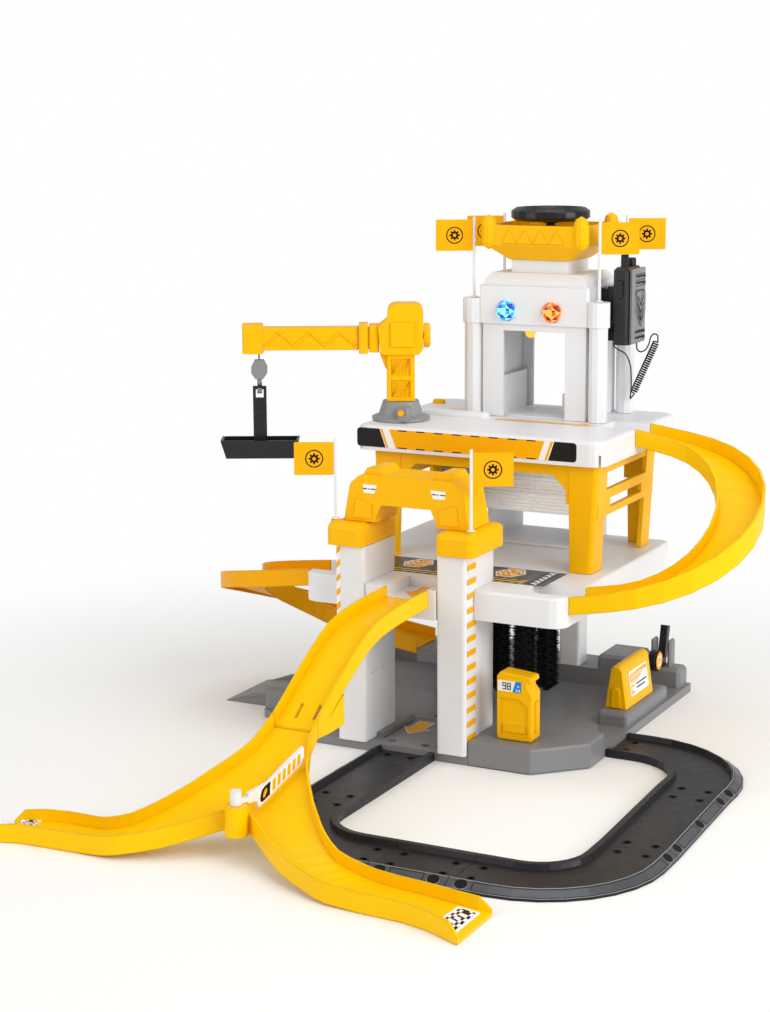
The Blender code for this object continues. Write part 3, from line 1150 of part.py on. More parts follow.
def hoist(aim, boom_z):
    """Thread, pulley block with its hook, and the tray that hangs on the hook."""
    x = hoist_x()
    thread_top = boom_z + 5
    block_top = boom_z - 19
    thread = rod(THREAD_R, block_top - 4, thread_top, (x, CRANE_Y), sides=8)
    block = prism([(x - 7, block_top - 6), (x - 4, block_top), (x + 4, block_top),
                   (x + 7, block_top - 6), (x + 7, block_top - 12), (x + 3.5, block_top - 17),
                   (x - 3.5, block_top - 17), (x - 7, block_top - 12)],
                  CRANE_Y - 4, CRANE_Y + 4, "y")
    ring_z = block_top - 25
    out, inner = HOOK_R + 3, HOOK_R
    hook_pts = [(-1.6, 10), (1.6, 10), (1.6, out - 0.5)]
    hook_pts += [(out * math.cos(a), out * math.sin(a))
                 for a in [math.radians(50 - 230 * k / 7) for k in range(8)]]
    hook_pts += [(inner * math.cos(a), inner * math.sin(a))
                 for a in [math.radians(-180 + 240 * k / 6) for k in range(6)]]
    hook_pts.append((-1.6, out - 1.4))
    hook = prism([(CRANE_Y + a, ring_z + b) for a, b in hook_pts], x - 2, x + 2, "x")
    piece("hook_block", STEEL_GREY, aim(block), ('+', aim(thread)), ('+', aim(hook)),
          smooth=False)
    bar = HOOK_R * 0.55
    bail_low = ring_z - 58
    arm = box(x - 6, x + 6, CRANE_Y - bar, CRANE_Y + bar, bail_low - 3, ring_z + bar)
    eye = box(x - 3.5, x + 3.5, CRANE_Y - 3, CRANE_Y + 3, ring_z - 9, ring_z - bar)
    window = box(x - 3.5, x + 3.5, CRANE_Y - 3, CRANE_Y + 3, bail_low + 12, ring_z - 12)
    tray = prism([(x - 35, bail_low + 12), (x - 30, bail_low - 4), (x + 30, bail_low - 4),
                  (x + 35, bail_low + 12)], CRANE_Y - 14, CRANE_Y + 14, "y")
    hollow = prism([(x - 33, bail_low + 13), (x - 28.5, bail_low - 1.5),
                    (x + 28.5, bail_low - 1.5), (x + 33, bail_low + 13)],
                   CRANE_Y - 12, CRANE_Y + 12, "y")
    piece("skip_tray", BLACK, aim(tray), ('-', aim(hollow)), ('+', aim(arm)),
          ('-', aim(window)), ('-', aim(eye)))


def diverter():
    """Arm that turns on the post in the fork and sends a car left or right."""
    x, y = PIVOT
    low = POST_TOP + GAP
    pin = rod(PIN_R, POST_TOP - 14, low + 1, PIVOT, sides=12)
    cap = rod(4.2, low, low + 11, PIVOT, sides=14)
    reach = (ARM_START + 9.5, ARM_START + 20, ARM_START + 35, ARM_LEN)
    heights = [floor_on_stem(y + r) + ARM_LIFT for r in reach]
    over_wall = floor_on_stem(y + 17) + SLIDE_UP + 1.2
    outline = [(y + ARM_START, over_wall), (y + ARM_START + 8, over_wall)]
    outline += [(y + r, h) for r, h in zip(reach, heights)]
    outline += [(y + r, h + 12) for r, h in zip(reversed(reach[1:]), reversed(heights[1:]))]
    outline.append((y + ARM_START, low + 6.5))
    arm = prism(outline, x - 1.5, x + 1.5, "x")
    link = box(x - 1.6, x + 1.6, y, y + ARM_START + 1, low + 0.1, low + 4)
    return piece("diverter_arm", WHITE, cap, ('+', pin),
                 ('+', lean(link, ARM_TURN, 'Z', (x, y, 0))),
                 ('+', lean(arm, ARM_TURN, 'Z', (x, y, 0))))


def floor_on_stem(y):
    """Height of the fork's floor on its middle line, above the crotch."""
    points = [(station[1][1], station[3]) for station in STEM + BEND[:1]]
    for (y0, z0), (y1, z1) in zip(points, points[1:]):
        if y >= y1:
            return z0 + (z1 - z0) * (y - y0) / (y1 - y0)
    return points[-1][1]


def fuel_can():
    """Jerry can with a sloped shoulder, a lipped neck and a pressed panel."""
    x0, y0, z0 = 86.0, -128.0, PLATFORM_Z + GAP
    w, d, h = 32.0, 18.0, 58.0
    outline = rounded([(0, 0), (w, 0), (w, h * 0.72), (w - 4, h * 0.80), (w - 4, h * 0.86),
                       (w - 1, h * 0.88), (w - 1, h * 0.94), (w - 3, h * 0.96), (3, h), (0, h - 4)],
                      [3, 3, 3, 1, 1, 1, 1, 1, 2, 2], 2)
    body = prism([(x0 + a, z0 + b) for a, b in outline], y0, y0 + d, "y")
    rim = [e for e in body.edges
           if all(abs(v.co.y - y0) < 0.01 for v in e.verts)
           or all(abs(v.co.y - y0 - d) < 0.01 for v in e.verts)]
    bmesh.ops.bevel(body, geom=rim, offset=1.2, segments=1, affect='EDGES')
    panel = prism([(x0 + 4, z0 + 4), (x0 + w - 4, z0 + 4), (x0 + w - 4, z0 + 30),
                   (x0 + w - 12, z0 + 36), (x0 + 4, z0 + 36)], y0 - 1, y0 + 1.2, "y")
    plate = box(x0 + 6, x0 + w - 6, y0, y0 + 3, z0 + 7, z0 + 13)
    rib = box(x0 + w - 1, x0 + w + 1.2, y0 + 6, y0 + d - 4, z0 + 8, z0 + 34)
    return piece("fuel_can", YELLOW, body, ('-', panel), ('+', plate), ('+', rib))


def fuel_pump():
    """Tapered pump with a round top and an arched panel on its near end."""
    x0 = BASE_RIGHT - 3 - ISLAND_W + 2
    w, length, h = 21.0, 67.0, 39.0
    y0, z0 = 3.0, ISLAND_Z + GAP
    mid = x0 + w / 2

    def ring(y, shrink):
        pts = [(-w / 2 + shrink, 0), (w / 2 - shrink, 0)]
        top_r = 5.5 - shrink * 0.5
        pts += [(top_r * math.cos(a), h - 6 - shrink + top_r * math.sin(a))
                for a in [math.radians(15 + 150 * k / 5) for k in range(6)]]
        return [Vector((mid + a, y, z0 + b)) for a, b in pts]
    body = loft([ring(y0, 1.2), ring(y0 + 1.6, 0), ring(y0 + length - 1.6, 0),
                 ring(y0 + length, 1.2)])
    arch = [(-4.5, 0.8), (4.5, 0.8)] + [(3.6 * math.cos(a), 15 + 3.6 * math.sin(a))
                                        for a in [math.pi * k / 5 for k in range(6)]]
    relief = prism([(mid + a, z0 + b) for a, b in arch], y0 - 1.3, y0 + 3, "y")
    return piece("fuel_pump", YELLOW, body, ('+', relief))


def fuel_nozzle():
    """Round gauge body with a hose gun that stands in the holder's fork."""
    y, z = 120.0, 36.0
    x = HOLDER_X
    disc = rod(10, x - 3, x + 3, (y - 6.3, z), "x", 18)
    face = rod(8, x + 2, x + 4.5, (y - 6.3, z), "x", 16)
    grip = prism([(y + 1, 30), (y + 9, 30), (y + 9, 26 + GAP), (y + 19, 26 + GAP), (y + 19, 39),
                  (y + 1, 39)], x - 2.4, x + 2.4, "x")
    barrel = box(x - 3.4, x + 3.4, y + 11, y + 18, 34, 64)
    barrel = lean(barrel, -14, 'X', (x, y + 14, 34))
    return piece("fuel_nozzle", BLACK, disc, ('+', face), ('+', grip), ('+', barrel))


def wash_brush(number, x, y):
    """Round brush whose bristles stand in a spiral and grow from the core's own faces."""
    high = DECK_Z - SUNK - 3 - 1 - HUB_H - GAP
    low = high - BRUSH_H
    bm = bmesh.new()
    rows = BRUSH_ROWS
    rings = []
    for i in range(rows + 1):
        z = low + 2 + (BRUSH_H - 4) * i / rows
        rings.append([bm.verts.new((x + BRUSH_CORE * math.cos(TAU * (k + 0.5) / BRUSH_SIDES),
                                    y + BRUSH_CORE * math.sin(TAU * (k + 0.5) / BRUSH_SIDES), z))
                      for k in range(BRUSH_SIDES)])
    for i in range(rows):
        for k in range(BRUSH_SIDES):
            n = (k + 1) % BRUSH_SIDES
            corners = (rings[i][k], rings[i][n], rings[i + 1][n], rings[i + 1][k])
            if (k + i) % 2 == 0:
                middle = sum((v.co for v in corners), Vector()) / 4
                out = Vector((middle.x - x, middle.y - y, 0)).normalized()
                tip = bm.verts.new(Vector((x, y, middle.z + 1.5)) + out * BRUSH_R)
                for a, b in zip(corners, corners[1:] + corners[:1]):
                    bm.faces.new((a, b, tip))
            else:
                bm.faces.new(corners)
    bm.faces.new(rings[0])
    bm.faces.new(rings[-1])
    axle = rod(2.2, high - 3, high + 9, (x, y), sides=8)
    foot = rod(3.5, low, low + 3, (x, y), sides=8)
    return piece(f"wash_brush_{number}", BRISTLE, bm, ('+', axle), ('+', foot), smooth=False)


def flag(name, x, y, z, pole, way):
    """A pole in its socket with a stiff flag that points left or right of it."""
    stick = rod(POLE_R, z - 7, z + pole, (x, y), sides=6)
    disc = rod(3.4, z + GAP, z + 1.4, (x, y), sides=8)
    sheet = box(x, x + way * FLAG_W, y - FLAG_T / 2, y + FLAG_T / 2, z + pole - 3 - FLAG_H,
                z + pole - 3) if way > 0 else \
        box(x - FLAG_W, x, y - FLAG_T / 2, y + FLAG_T / 2, z + pole - 3 - FLAG_H, z + pole - 3)
    lean(sheet, BOOM_TURN, 'Z', (x, y, 0))
    return piece(name, WHITE, stick, ('+', disc), ('+', sheet), smooth=False)


def flags():
    for number, (x, y) in enumerate(SOCKETS, 1):
        flag(f"tower_flag_{number}", x, y, SOCKET_Z, TOWER_POLE, -1 if x < TOWER_X else 1)
    for side, way in (("left", -1), ("right", 1)):
        flag(f"gate_flag_{side}", gate_pole_x(side), PILLAR_FRONT + 5, CAP_Z + CAP_H + 1.6,
             GATE_POLE, way)


def handset():
    """Two-part handset on a wall bracket, with a side button, a knob and a stub aerial."""
    x1, y1, z1 = SET_X + SET_W, SET_Y + SET_D, SET_Z + SET_H
    body = box(SET_X, x1 - 4, SET_Y, y1, SET_Z, z1, 3, "top", 1)
    well = prism(rounded(rectangle(SET_Z + 41, SET_Z + 57, SET_X + 4, SET_X + 10), 2.6, 3),
                 SET_Y - 1, SET_Y + 3.2, "x")
    for v in well.verts:
        v.co = Vector((v.co.z, v.co.x, v.co.y))
    bmesh.ops.recalc_face_normals(well, faces=well.faces)
    aerial = turned([(0, z1 - 2), (3.6, z1 - 2), (3.6, z1 + 6), (2.6, z1 + 30), (0, z1 + 30)],
                    (SET_X + 7.5, SET_Y + 10, 0), sides=10)
    step = box(SET_X - 1, SET_X + 1.5, SET_Y - 1, y1 + 1, SET_Z - 1, SET_Z + 18)
    knob_hole = rod(2.0 + GAP, z1 - 6, z1 + 1, (SET_X + 8, SET_Y + 25), sides=10)
    clip_slot = box(SET_X - 1, SET_X + 2.5, SET_Y + SET_D / 2 - 5, SET_Y + SET_D / 2 + 5,
                    BRACKET_Z - 12, BRACKET_Z + 8)
    gland = rod(2.0, SET_Z, SET_Z + 20, CORD_EXIT, sides=8)
    piece("handset_body", BLACK, body, ('-', step), ('+', gland), ('+', aerial), ('-', well),
          ('-', knob_hole), ('-', clip_slot))
    face = box(x1 - 4 + GAP, x1, SET_Y + 1.5, y1 - 1.5, SET_Z + 1.5, z1 - 1.5, 2, "vertical", 2)
    cuts = [box(x1 - 1.2, x1 + 1, SET_Y + 6, y1 - 5, z, z + 1.2) for z in
            (SET_Z + 5, SET_Z + 10, z1 - 7, z1 - 12, z1 - 17)]
    chevron = prism([(SET_Y + 7, SET_Z + 46), (SET_Y + 12, SET_Z + 46), (SET_Y + 18, SET_Z + 36),
                     (SET_Y + 24, SET_Z + 46), (SET_Y + 29, SET_Z + 46), (SET_Y + 18, SET_Z + 26)],
                    x1 - 1, x1 + 1.2, "x")
    piece("handset_face", STEEL_GREY, face, *[('-', c) for c in cuts], ('+', chevron))
    button = prism(rounded(rectangle(SET_Z + 41 + GAP, SET_Z + 57 - GAP, SET_X + 4 + GAP,
                                     SET_X + 10 - GAP), 2.2, 3), SET_Y - 1.2, SET_Y + 1.6, "x")
    for v in button.verts:
        v.co = Vector((v.co.z, v.co.x, v.co.y))
    piece("handset_button", BLACK, button)
    knob = turned([(0, z1 - 5), (2.0, z1 - 5), (2.0, z1 + GAP), (4.2, z1 + GAP), (4.2, z1 + 6),
                   (3.4, z1 + 7), (0, z1 + 7)], (SET_X + 8, SET_Y + 25, 0), sides=12)
    piece("handset_knob", BLACK, knob)
    x = TOWER_X + TOWER_W / 2
    y = BRACKET_Y
    plug = box(x - 4 + GAP, x + 8, y - 6 + GAP, y + 6 - GAP, BRACKET_Z - 6 + GAP,
               BRACKET_Z + 6 - GAP, 1.5)
    plate = box(x + 6, SET_X - GAP, y - 8, y + 8, BRACKET_LOW, BRACKET_Z + 8, 2)
    hook = box(SET_X - 1, SET_X + 1.6, SET_Y + SET_D / 2 - 4, SET_Y + SET_D / 2 + 4,
               BRACKET_Z - 8, BRACKET_Z + 4)
    piece("handset_bracket", BLACK, plug, ('+', plate), ('+', hook))


BRACKET_LOW = BRACKET_Z - 40
CORD_EXIT = (SET_X + 13.0, SET_Y + 28.0)
CORD_ANCHOR = (TOWER_X + TOWER_W / 2 + 10.0, BRACKET_Y)
# The cord's route, from the handset's lower left front corner
COIL_TOP = (27.5, 39.0, 0.0)
COIL_FOOT = (6.5, 39.0, -47.0)
CORD_START = ((13.0, 28.0, -3.0), (13.3, 29.0, -6.5), (15.0, 33.0, -9.0), (18.0, 37.5, -7.5),
              (20.6, 39.0, -2.0), (22.0, 39.0, 3.5), (25.0, 39.0, 6.8), (28.6, 39.0, 5.4))
CORD_END = ((4.6, 40.0, -51.4), (2.0, 43.0, -53.0), (1.4, 46.0, -50.0), (1.6, 46.5, -39.0),
            (1.0, 45.0, -23.0), (-1.0, 37.0, -12.0), (-4.0, 27.5, -7.5), (-5.8, 22.0, -4.0))


def cord_points():
    """The whole cord: down from the handset, a loop, the curls, and up to the bracket."""
    corner = Vector((SET_X, SET_Y, SET_Z))
    top, foot = corner + Vector(COIL_TOP), corner + Vector(COIL_FOOT)
    down = (foot - top).normalized()
    across = Vector((0, 1, 0))
    side = down.cross(across).normalized()
    points = [Vector((*CORD_EXIT, SET_Z - GAP)), *[corner + Vector(p) for p in CORD_START]]
    count = CURLS * CURL_POINTS
    for k in range(count + 1):
        a = TAU * k / CURL_POINTS
        r = CURL_R * min(1.0, (k + 1) / CURL_POINTS, (count + 1 - k) / CURL_POINTS)
        points.append(top + (foot - top) * k / count + (side * math.cos(a)
                                                        + across * math.sin(a)) * r)
    points += [corner + Vector(p) for p in CORD_END]
    points += [Vector((*CORD_ANCHOR, BRACKET_LOW - 4)), Vector((*CORD_ANCHOR, BRACKET_LOW - GAP))]
    return points


def least_gap(points, width):
    """Smallest clearance of the cord to itself, leaving out its nearest neighbours."""
    runs = [0.0]
    for a, b in zip(points, points[1:]):
        runs.append(runs[-1] + (b - a).length)
    least = 1e9
    for i in range(len(points)):
        for j in range(i + 1, len(points) - 1):
            if runs[j] - runs[i] < width * 3.5:
                continue
            a, b = points[j], points[j + 1]
            along_edge = max(0.0, min(1.0, (points[i] - a).dot(b - a) / (b - a).length_squared))
            least = min(least, (points[i] - a - (b - a) * along_edge).length)
    return least - width, runs[-1]


def handset_cord():
    """The curly cord as one unbroken tube."""
    points = cord_points()
    gap, length = least_gap(points, CORD_D)
    print(f"cord: least gap to itself {gap:.2f} mm, length {length:.0f} mm")
    curve = bpy.data.curves.new("handset_cord", 'CURVE')
    curve.dimensions = '3D'
    curve.bevel_depth = CORD_D / 2 * MM
    curve.bevel_resolution = 1
    curve.use_fill_caps = True
    spline = curve.splines.new('POLY')
    spline.points.add(len(points) - 1)
    for slot, p in zip(spline.points, points):
        slot.co = (p.x * MM, p.y * MM, p.z * MM, 1)
    curve.materials.append(material(CORD_BLACK))
    obj = bpy.data.objects.new("handset_cord", curve)
    bpy.context.scene.collection.objects.link(obj)


def main():
    clear_scene()
    base_plate()
    base_ramp()
    gate_pillars()
    gate_caps()
    gate_arch()
    mid_deck()
    rear_columns()
    deck_stand()
    top_deck()
    deck_pegs()
    tower_shell()
    shaft_frame()
    shutter_panel()
    tower_crown()
    steering_wheel()
    lift_screw()
    lift_car()
    lamps()
    side_slides()
    front_slide()
    slide_fork()
    tracks()
    crane()
    diverter()
    fuel_can()
    fuel_pump()
    fuel_nozzle()
    for number, (x, y) in enumerate(BRUSHES, 1):
        wash_brush(number, x, y)
    flags()
    handset()
    handset_cord()


main()
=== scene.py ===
"""Looks of the toy parking garage: camera, cord, materials, stickers, floor and light.

Lengths in the helpers are millimetres and are scaled by MM. +X is right, +Y is away from
the gate and +Z is up, as in the CAD.
"""
import math

import bmesh
import bpy
from mathutils import Matrix, Vector
from mathutils.bvhtree import BVHTree
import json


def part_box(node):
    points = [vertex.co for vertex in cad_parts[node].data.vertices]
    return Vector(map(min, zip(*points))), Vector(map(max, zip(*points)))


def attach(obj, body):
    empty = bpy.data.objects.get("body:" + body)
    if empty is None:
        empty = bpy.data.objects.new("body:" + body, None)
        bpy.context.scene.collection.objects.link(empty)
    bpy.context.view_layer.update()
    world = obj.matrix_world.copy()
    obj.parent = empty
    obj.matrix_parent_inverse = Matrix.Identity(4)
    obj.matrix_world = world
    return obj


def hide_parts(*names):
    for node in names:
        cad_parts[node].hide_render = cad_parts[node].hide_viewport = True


MM = 0.001
TAU = 2 * math.pi

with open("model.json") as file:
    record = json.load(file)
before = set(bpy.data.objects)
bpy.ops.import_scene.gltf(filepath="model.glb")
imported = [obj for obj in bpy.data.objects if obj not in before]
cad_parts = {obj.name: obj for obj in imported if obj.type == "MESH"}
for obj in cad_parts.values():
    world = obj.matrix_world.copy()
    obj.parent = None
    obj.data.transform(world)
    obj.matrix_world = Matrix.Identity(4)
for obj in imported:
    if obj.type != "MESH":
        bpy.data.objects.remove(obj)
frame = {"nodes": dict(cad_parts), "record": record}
bpy.context.scene.view_settings.view_transform = 'Standard'
NODES = frame["nodes"]
BODY_OF = {node: body for body, members in frame["record"]["behaviour"]["bodies"].items()
           for node in members}
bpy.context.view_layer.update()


def link(name, data):
    """A new object of the scene around its data."""
    obj = bpy.data.objects.new(name, data)
    bpy.context.scene.collection.objects.link(obj)
    return obj


# Camera: eye, turn, pitch and roll that the photograph's edges were solved for
FOCAL_PX = 2086.0
FRAME_H = 1012                 # pixels
SENSOR_MM = 36.0
EYE = Vector((0.7660, -1.6497, 0.5473))
YAW, PITCH, ROLL = (math.radians(a) for a in (27.22, 11.13, -0.338))


def camera():
    ahead = Vector((-math.sin(YAW) * math.cos(PITCH), math.cos(YAW) * math.cos(PITCH),
                    -math.sin(PITCH)))
    right = Vector((math.cos(YAW), math.sin(YAW), 0))
    up = right.cross(ahead)
    turned_right = right * math.cos(ROLL) + up * math.sin(ROLL)
    turned_up = up * math.cos(ROLL) - right * math.sin(ROLL)
    cam = bpy.data.cameras.new("camera")
    cam.sensor_fit = 'VERTICAL'
    cam.sensor_height = SENSOR_MM
    cam.lens = FOCAL_PX / FRAME_H * SENSOR_MM
    cam.clip_end = 20
    obj = link("camera", cam)
    turn = Matrix((turned_right, turned_up, -ahead)).transposed()
    obj.matrix_world = Matrix.Translation(EYE) @ turn.to_4x4()
    bpy.context.scene.camera = obj


# The curly cord's route in metres: the CAD's points, with its curls drawn more finely
CORD_DIAMETER = 0.0013
CORD_EXIT = (0.121, 0.095, 0.3307)
CORD_START = ((0.1210, 0.0950, 0.3280), (0.1213, 0.0960, 0.3245), (0.1230, 0.1000, 0.3220),
              (0.1260, 0.1045, 0.3235), (0.1286, 0.1060, 0.3290), (0.1300, 0.1060, 0.3345),
              (0.1330, 0.1060, 0.3378), (0.1366, 0.1060, 0.3364))
CORD_FINISH = ((0.1126, 0.1070, 0.2796), (0.1100, 0.1100, 0.2780), (0.1094, 0.1130, 0.2810),
               (0.1096, 0.1135, 0.2920), (0.1090, 0.1120, 0.3080), (0.1070, 0.1040, 0.3190),
               (0.1040, 0.0945, 0.3235), (0.1022, 0.0890, 0.3270), (0.1020, 0.0880, 0.3290),
               (0.1020, 0.0880, 0.3327))
COIL_TOP = Vector((0.1355, 0.1060, 0.3310))
COIL_FOOT = Vector((0.1145, 0.1060, 0.2840))
CURL_R = 0.00279               # middle of the wire
CURL_END = 0.5                 # share of that radius where the curls begin and end
CURLS, CURL_POINTS = 24, 12


def smoothed(points, parts=3):
    """Points with others between them on one smooth curve through them all."""
    line = [2 * points[0] - points[1], *points, 2 * points[-1] - points[-2]]
    out = []
    for a, b, c, d in zip(line, line[1:], line[2:], line[3:]):
        for k in range(parts):
            s = k / parts
            out.append(0.5 * (2 * b + (c - a) * s + (2 * a - 5 * b + 4 * c - d) * s * s
                              + (3 * b - 3 * c + d - a) * s * s * s))
    return out + [points[-1]]


def cord_route():
    """The whole cord: down from the handset, a loop, the curls, and up to the bracket."""
    down = (COIL_FOOT - COIL_TOP).normalized()
    across = Vector((0, 1, 0))
    side = down.cross(across).normalized()
    coil = []
    count = CURLS * CURL_POINTS
    for k in range(count + 1):
        a = TAU * k / CURL_POINTS
        r = CURL_R * min(1.0, CURL_END + k / CURL_POINTS, CURL_END + (count - k) / CURL_POINTS)
        coil.append(COIL_TOP + (COIL_FOOT - COIL_TOP) * k / count
                    + (side * math.cos(a) + across * math.sin(a)) * r)
    lead = [Vector(CORD_EXIT), *[Vector(p) for p in CORD_START], coil[0]]
    tail = [coil[-1], *[Vector(p) for p in CORD_FINISH]]
    return smoothed(lead)[:-1] + coil + smoothed(tail)[1:]


def curly_cord(mat):
    points = cord_route()
    curve = bpy.data.curves.new("curly_cord", 'CURVE')
    curve.dimensions = '3D'
    curve.bevel_depth = CORD_DIAMETER / 2
    curve.bevel_resolution = 2
    curve.use_fill_caps = True
    spline = curve.splines.new('POLY')
    spline.points.add(len(points) - 1)
    for slot, p in zip(spline.points, points):
        slot.co = (*p, 1)
    spline.use_smooth = True
    curve.materials.append(mat)
    obj = link("curly_cord", curve)
    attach(obj, BODY_OF["handset_cord"])
    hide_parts("handset_cord")


# Materials
def srgb(r, g, b):
    """An 8-bit screen colour as the linear values that a shader takes."""
    return tuple((c / 255 / 12.92) if c <= 10 else ((c / 255 + 0.055) / 1.055) ** 2.4
                 for c in (r, g, b))


def mapped(nodes, links, source, low, high):
    """The 0..1 output of a texture, spread between two values."""
    node = nodes.new("ShaderNodeMapRange")
    links.new(source, node.inputs["Value"])
    node.inputs["From Min"].default_value = 0.3
    node.inputs["From Max"].default_value = 0.7
    node.inputs["To Min"].default_value = low
    node.inputs["To Max"].default_value = high
    return node.outputs["Result"]


def plastic(name, colour, rough=0.3, mottle=0.04, grain=0.10, scale=1.0, edge=0.0005,
            coat=0.0, shine=0.3):
    """Moulded plastic: faint flow marks, a fine-grained skin, uneven gloss, soft edges."""
    mat = bpy.data.materials.new(name)
    mat.use_nodes = True
    nodes, links = mat.node_tree.nodes, mat.node_tree.links
    shader = nodes["Principled BSDF"]
    place = nodes.new("ShaderNodeTexCoord").outputs["Object"]

    flow = nodes.new("ShaderNodeTexNoise")
    flow.inputs["Scale"].default_value = 26 * scale
    flow.inputs["Detail"].default_value = 3
    links.new(place, flow.inputs["Vector"])
    ramp = nodes.new("ShaderNodeValToRGB")
    ramp.color_ramp.elements[0].position = 0.32
    ramp.color_ramp.elements[1].position = 0.68
    for element, gain in zip(ramp.color_ramp.elements, (1 - mottle, 1 + mottle * 0.5)):
        element.color = (*[min(1.0, c * gain) for c in colour], 1)
    links.new(flow.outputs["Fac"], ramp.inputs["Fac"])
    links.new(ramp.outputs["Color"], shader.inputs["Base Color"])

    gloss = nodes.new("ShaderNodeTexNoise")
    gloss.inputs["Scale"].default_value = 140 * scale
    gloss.inputs["Detail"].default_value = 2
    links.new(place, gloss.inputs["Vector"])
    links.new(mapped(nodes, links, gloss.outputs["Fac"], rough * 0.88, rough * 1.15),
              shader.inputs["Roughness"])

    skin = nodes.new("ShaderNodeTexNoise")
    skin.inputs["Scale"].default_value = 1500 * scale
    links.new(place, skin.inputs["Vector"])
    bump = nodes.new("ShaderNodeBump")
    bump.inputs["Strength"].default_value = grain
    bump.inputs["Distance"].default_value = 0.00012
    links.new(skin.outputs["Fac"], bump.inputs["Height"])
    if edge:
        soft = nodes.new("ShaderNodeBevel")
        soft.samples = 3
        soft.inputs["Radius"].default_value = edge
        links.new(soft.outputs["Normal"], bump.inputs["Normal"])
    links.new(bump.outputs["Normal"], shader.inputs["Normal"])
    shader.inputs["Specular IOR Level"].default_value = shine
    shader.inputs["Coat Weight"].default_value = coat
    shader.inputs["Coat Roughness"].default_value = 0.12
    return mat


YELLOW = plastic("yellow_plastic", srgb(250, 188, 0), 0.34, mottle=0.02, edge=0.0008, shine=0.13)
SLIDE = plastic("slide_yellow", srgb(252, 199, 0), 0.30, mottle=0.02, edge=0.0015, shine=0.13)
# The left slide gets a deeper, more orange copy of the slide yellow: painted shade.
SHADED_SLIDE = plastic("slide_yellow_painted_shade", srgb(246, 172, 0), 0.34, mottle=0.02, edge=0.0015,
                     shine=0.13)
WHITE = plastic("white_plastic", srgb(232, 233, 235), 0.32, mottle=0.012, shine=0.3)
BASE_GREY = plastic("base_grey", srgb(128, 128, 130), 0.38, grain=0.2, edge=0.0014, shine=0.45)
FOOT_GREY = plastic("foot_grey", srgb(142, 143, 144), 0.36, grain=0.2, edge=0.0008, shine=0.45)
TRACK_DARK = plastic("track_dark", srgb(35, 34, 37), 0.34, grain=0.25, shine=0.25)
BLACK = plastic("black_plastic", srgb(32, 31, 32), 0.30, grain=0.2, shine=0.35)
WHEEL_BLACK = plastic("wheel_black", srgb(20, 19, 22), 0.26, grain=0.1, edge=0.0025, shine=0.4)
RUBBER = plastic("cord_rubber", srgb(22, 22, 23), 0.42, grain=0.1, edge=0, shine=0.3)
FACE_GREY = plastic("face_grey", srgb(138, 138, 140), 0.35, grain=0.3, shine=0.35)
STEEL = plastic("shutter_silver", srgb(200, 198, 198), 0.30, coat=0.2)
BRISTLES = plastic("bristles", srgb(20, 19, 20), 0.6, grain=0.4, scale=2.0, edge=0, shine=0.15)
FLAG = plastic("flag_orange", srgb(250, 178, 4), 0.4, mottle=0.03, grain=0.2, edge=0.0003,
               shine=0.12)
# Printed film: a little glossier than the plastic under it
P_ORANGE = plastic("print_orange", srgb(250, 176, 0), 0.32, mottle=0.02, edge=0, shine=0.1)
P_WHITE = plastic("print_white", srgb(246, 246, 246), 0.28, mottle=0.01, edge=0)
P_BLACK = plastic("print_black", srgb(22, 19, 19), 0.28, mottle=0.03, edge=0, shine=0.2)
P_GREY = plastic("print_grey", srgb(70, 69, 71), 0.32, mottle=0.03, edge=0)
P_YELLOW = plastic("print_yellow", srgb(226, 186, 30), 0.28, mottle=0.02, edge=0)
P_BLUE = plastic("print_blue", srgb(30, 140, 215), 0.28, mottle=0.02, edge=0)
# Near black for grooves, slots and joints, and also painted shade in holes and sunk panels.
GROOVE_AND_SHADE = plastic("groove_and_shade_dark", srgb(12, 12, 13), 0.5, mottle=0.05, edge=0, shine=0.2)
# Painted light on the track's outer rail: a lighter grey over its sloped face, and paler strips as
# painted highlights along its edges and round its sockets.
RAIL_PAINTED_SHEEN = plastic("rail_painted_sheen", srgb(72, 73, 76), 0.26, grain=0.2, edge=0, shine=0.5)
RAIL_PAINTED_HIGHLIGHT = plastic("rail_painted_highlight", srgb(150, 151, 154), 0.3, grain=0.1, edge=0)

FINISH = {
    YELLOW: ("crane_boom", "crane_mast", "crane_screw", "deck_peg_1", "deck_peg_2",
             "deck_stand", "fuel_can", "fuel_pump", "gate_arch", "gate_cap_left",
             "gate_cap_right", "tower_crown", "winch_knob"),
    SLIDE: ("front_slide", "right_slide", "slide_fork"),
    SHADED_SLIDE: ("left_slide",),
    WHITE: ("diverter_arm", "gate_flag_left", "gate_flag_right", "gate_pillar_left",
            "gate_pillar_right", "lift_car", "mid_deck", "rear_column_left", "rear_column_right",
            "shaft_frame", "top_deck", "tower_flag_1", "tower_flag_2", "tower_flag_3",
            "tower_flag_4", "tower_shell"),
    BASE_GREY: ("base_plate", "base_ramp", "lift_screw"),
    FOOT_GREY: ("crane_foot",),
    TRACK_DARK: ("track_corner_left", "track_corner_rear", "track_corner_right", "track_front",
                 "track_gate", "track_side"),
    BLACK: ("skip_tray", "handset_body", "handset_bracket", "handset_button", "handset_knob",
            "fuel_nozzle"),
    WHEEL_BLACK: ("steering_wheel",),
    FACE_GREY: ("handset_face", "hook_block"),
    STEEL: ("shutter_panel",),
    BRISTLES: ("wash_brush_1", "wash_brush_2", "wash_brush_3"),
}


def dress(node, mat):
    obj = NODES[node]
    obj.data.materials.clear()
    obj.data.materials.append(mat)


def dress_all():
    for mat, names in FINISH.items():
        for name in names:
            dress(name, mat)


def lens(name, colour, glow):
    """Clear coloured plastic that is lit from inside."""
    mat = plastic(name, colour, 0.08, mottle=0.1, grain=0.02, edge=0, coat=0.5)
    shader = mat.node_tree.nodes["Principled BSDF"]
    shader.inputs["Emission Color"].default_value = (*colour, 1)
    shader.inputs["Emission Strength"].default_value = glow
    return mat


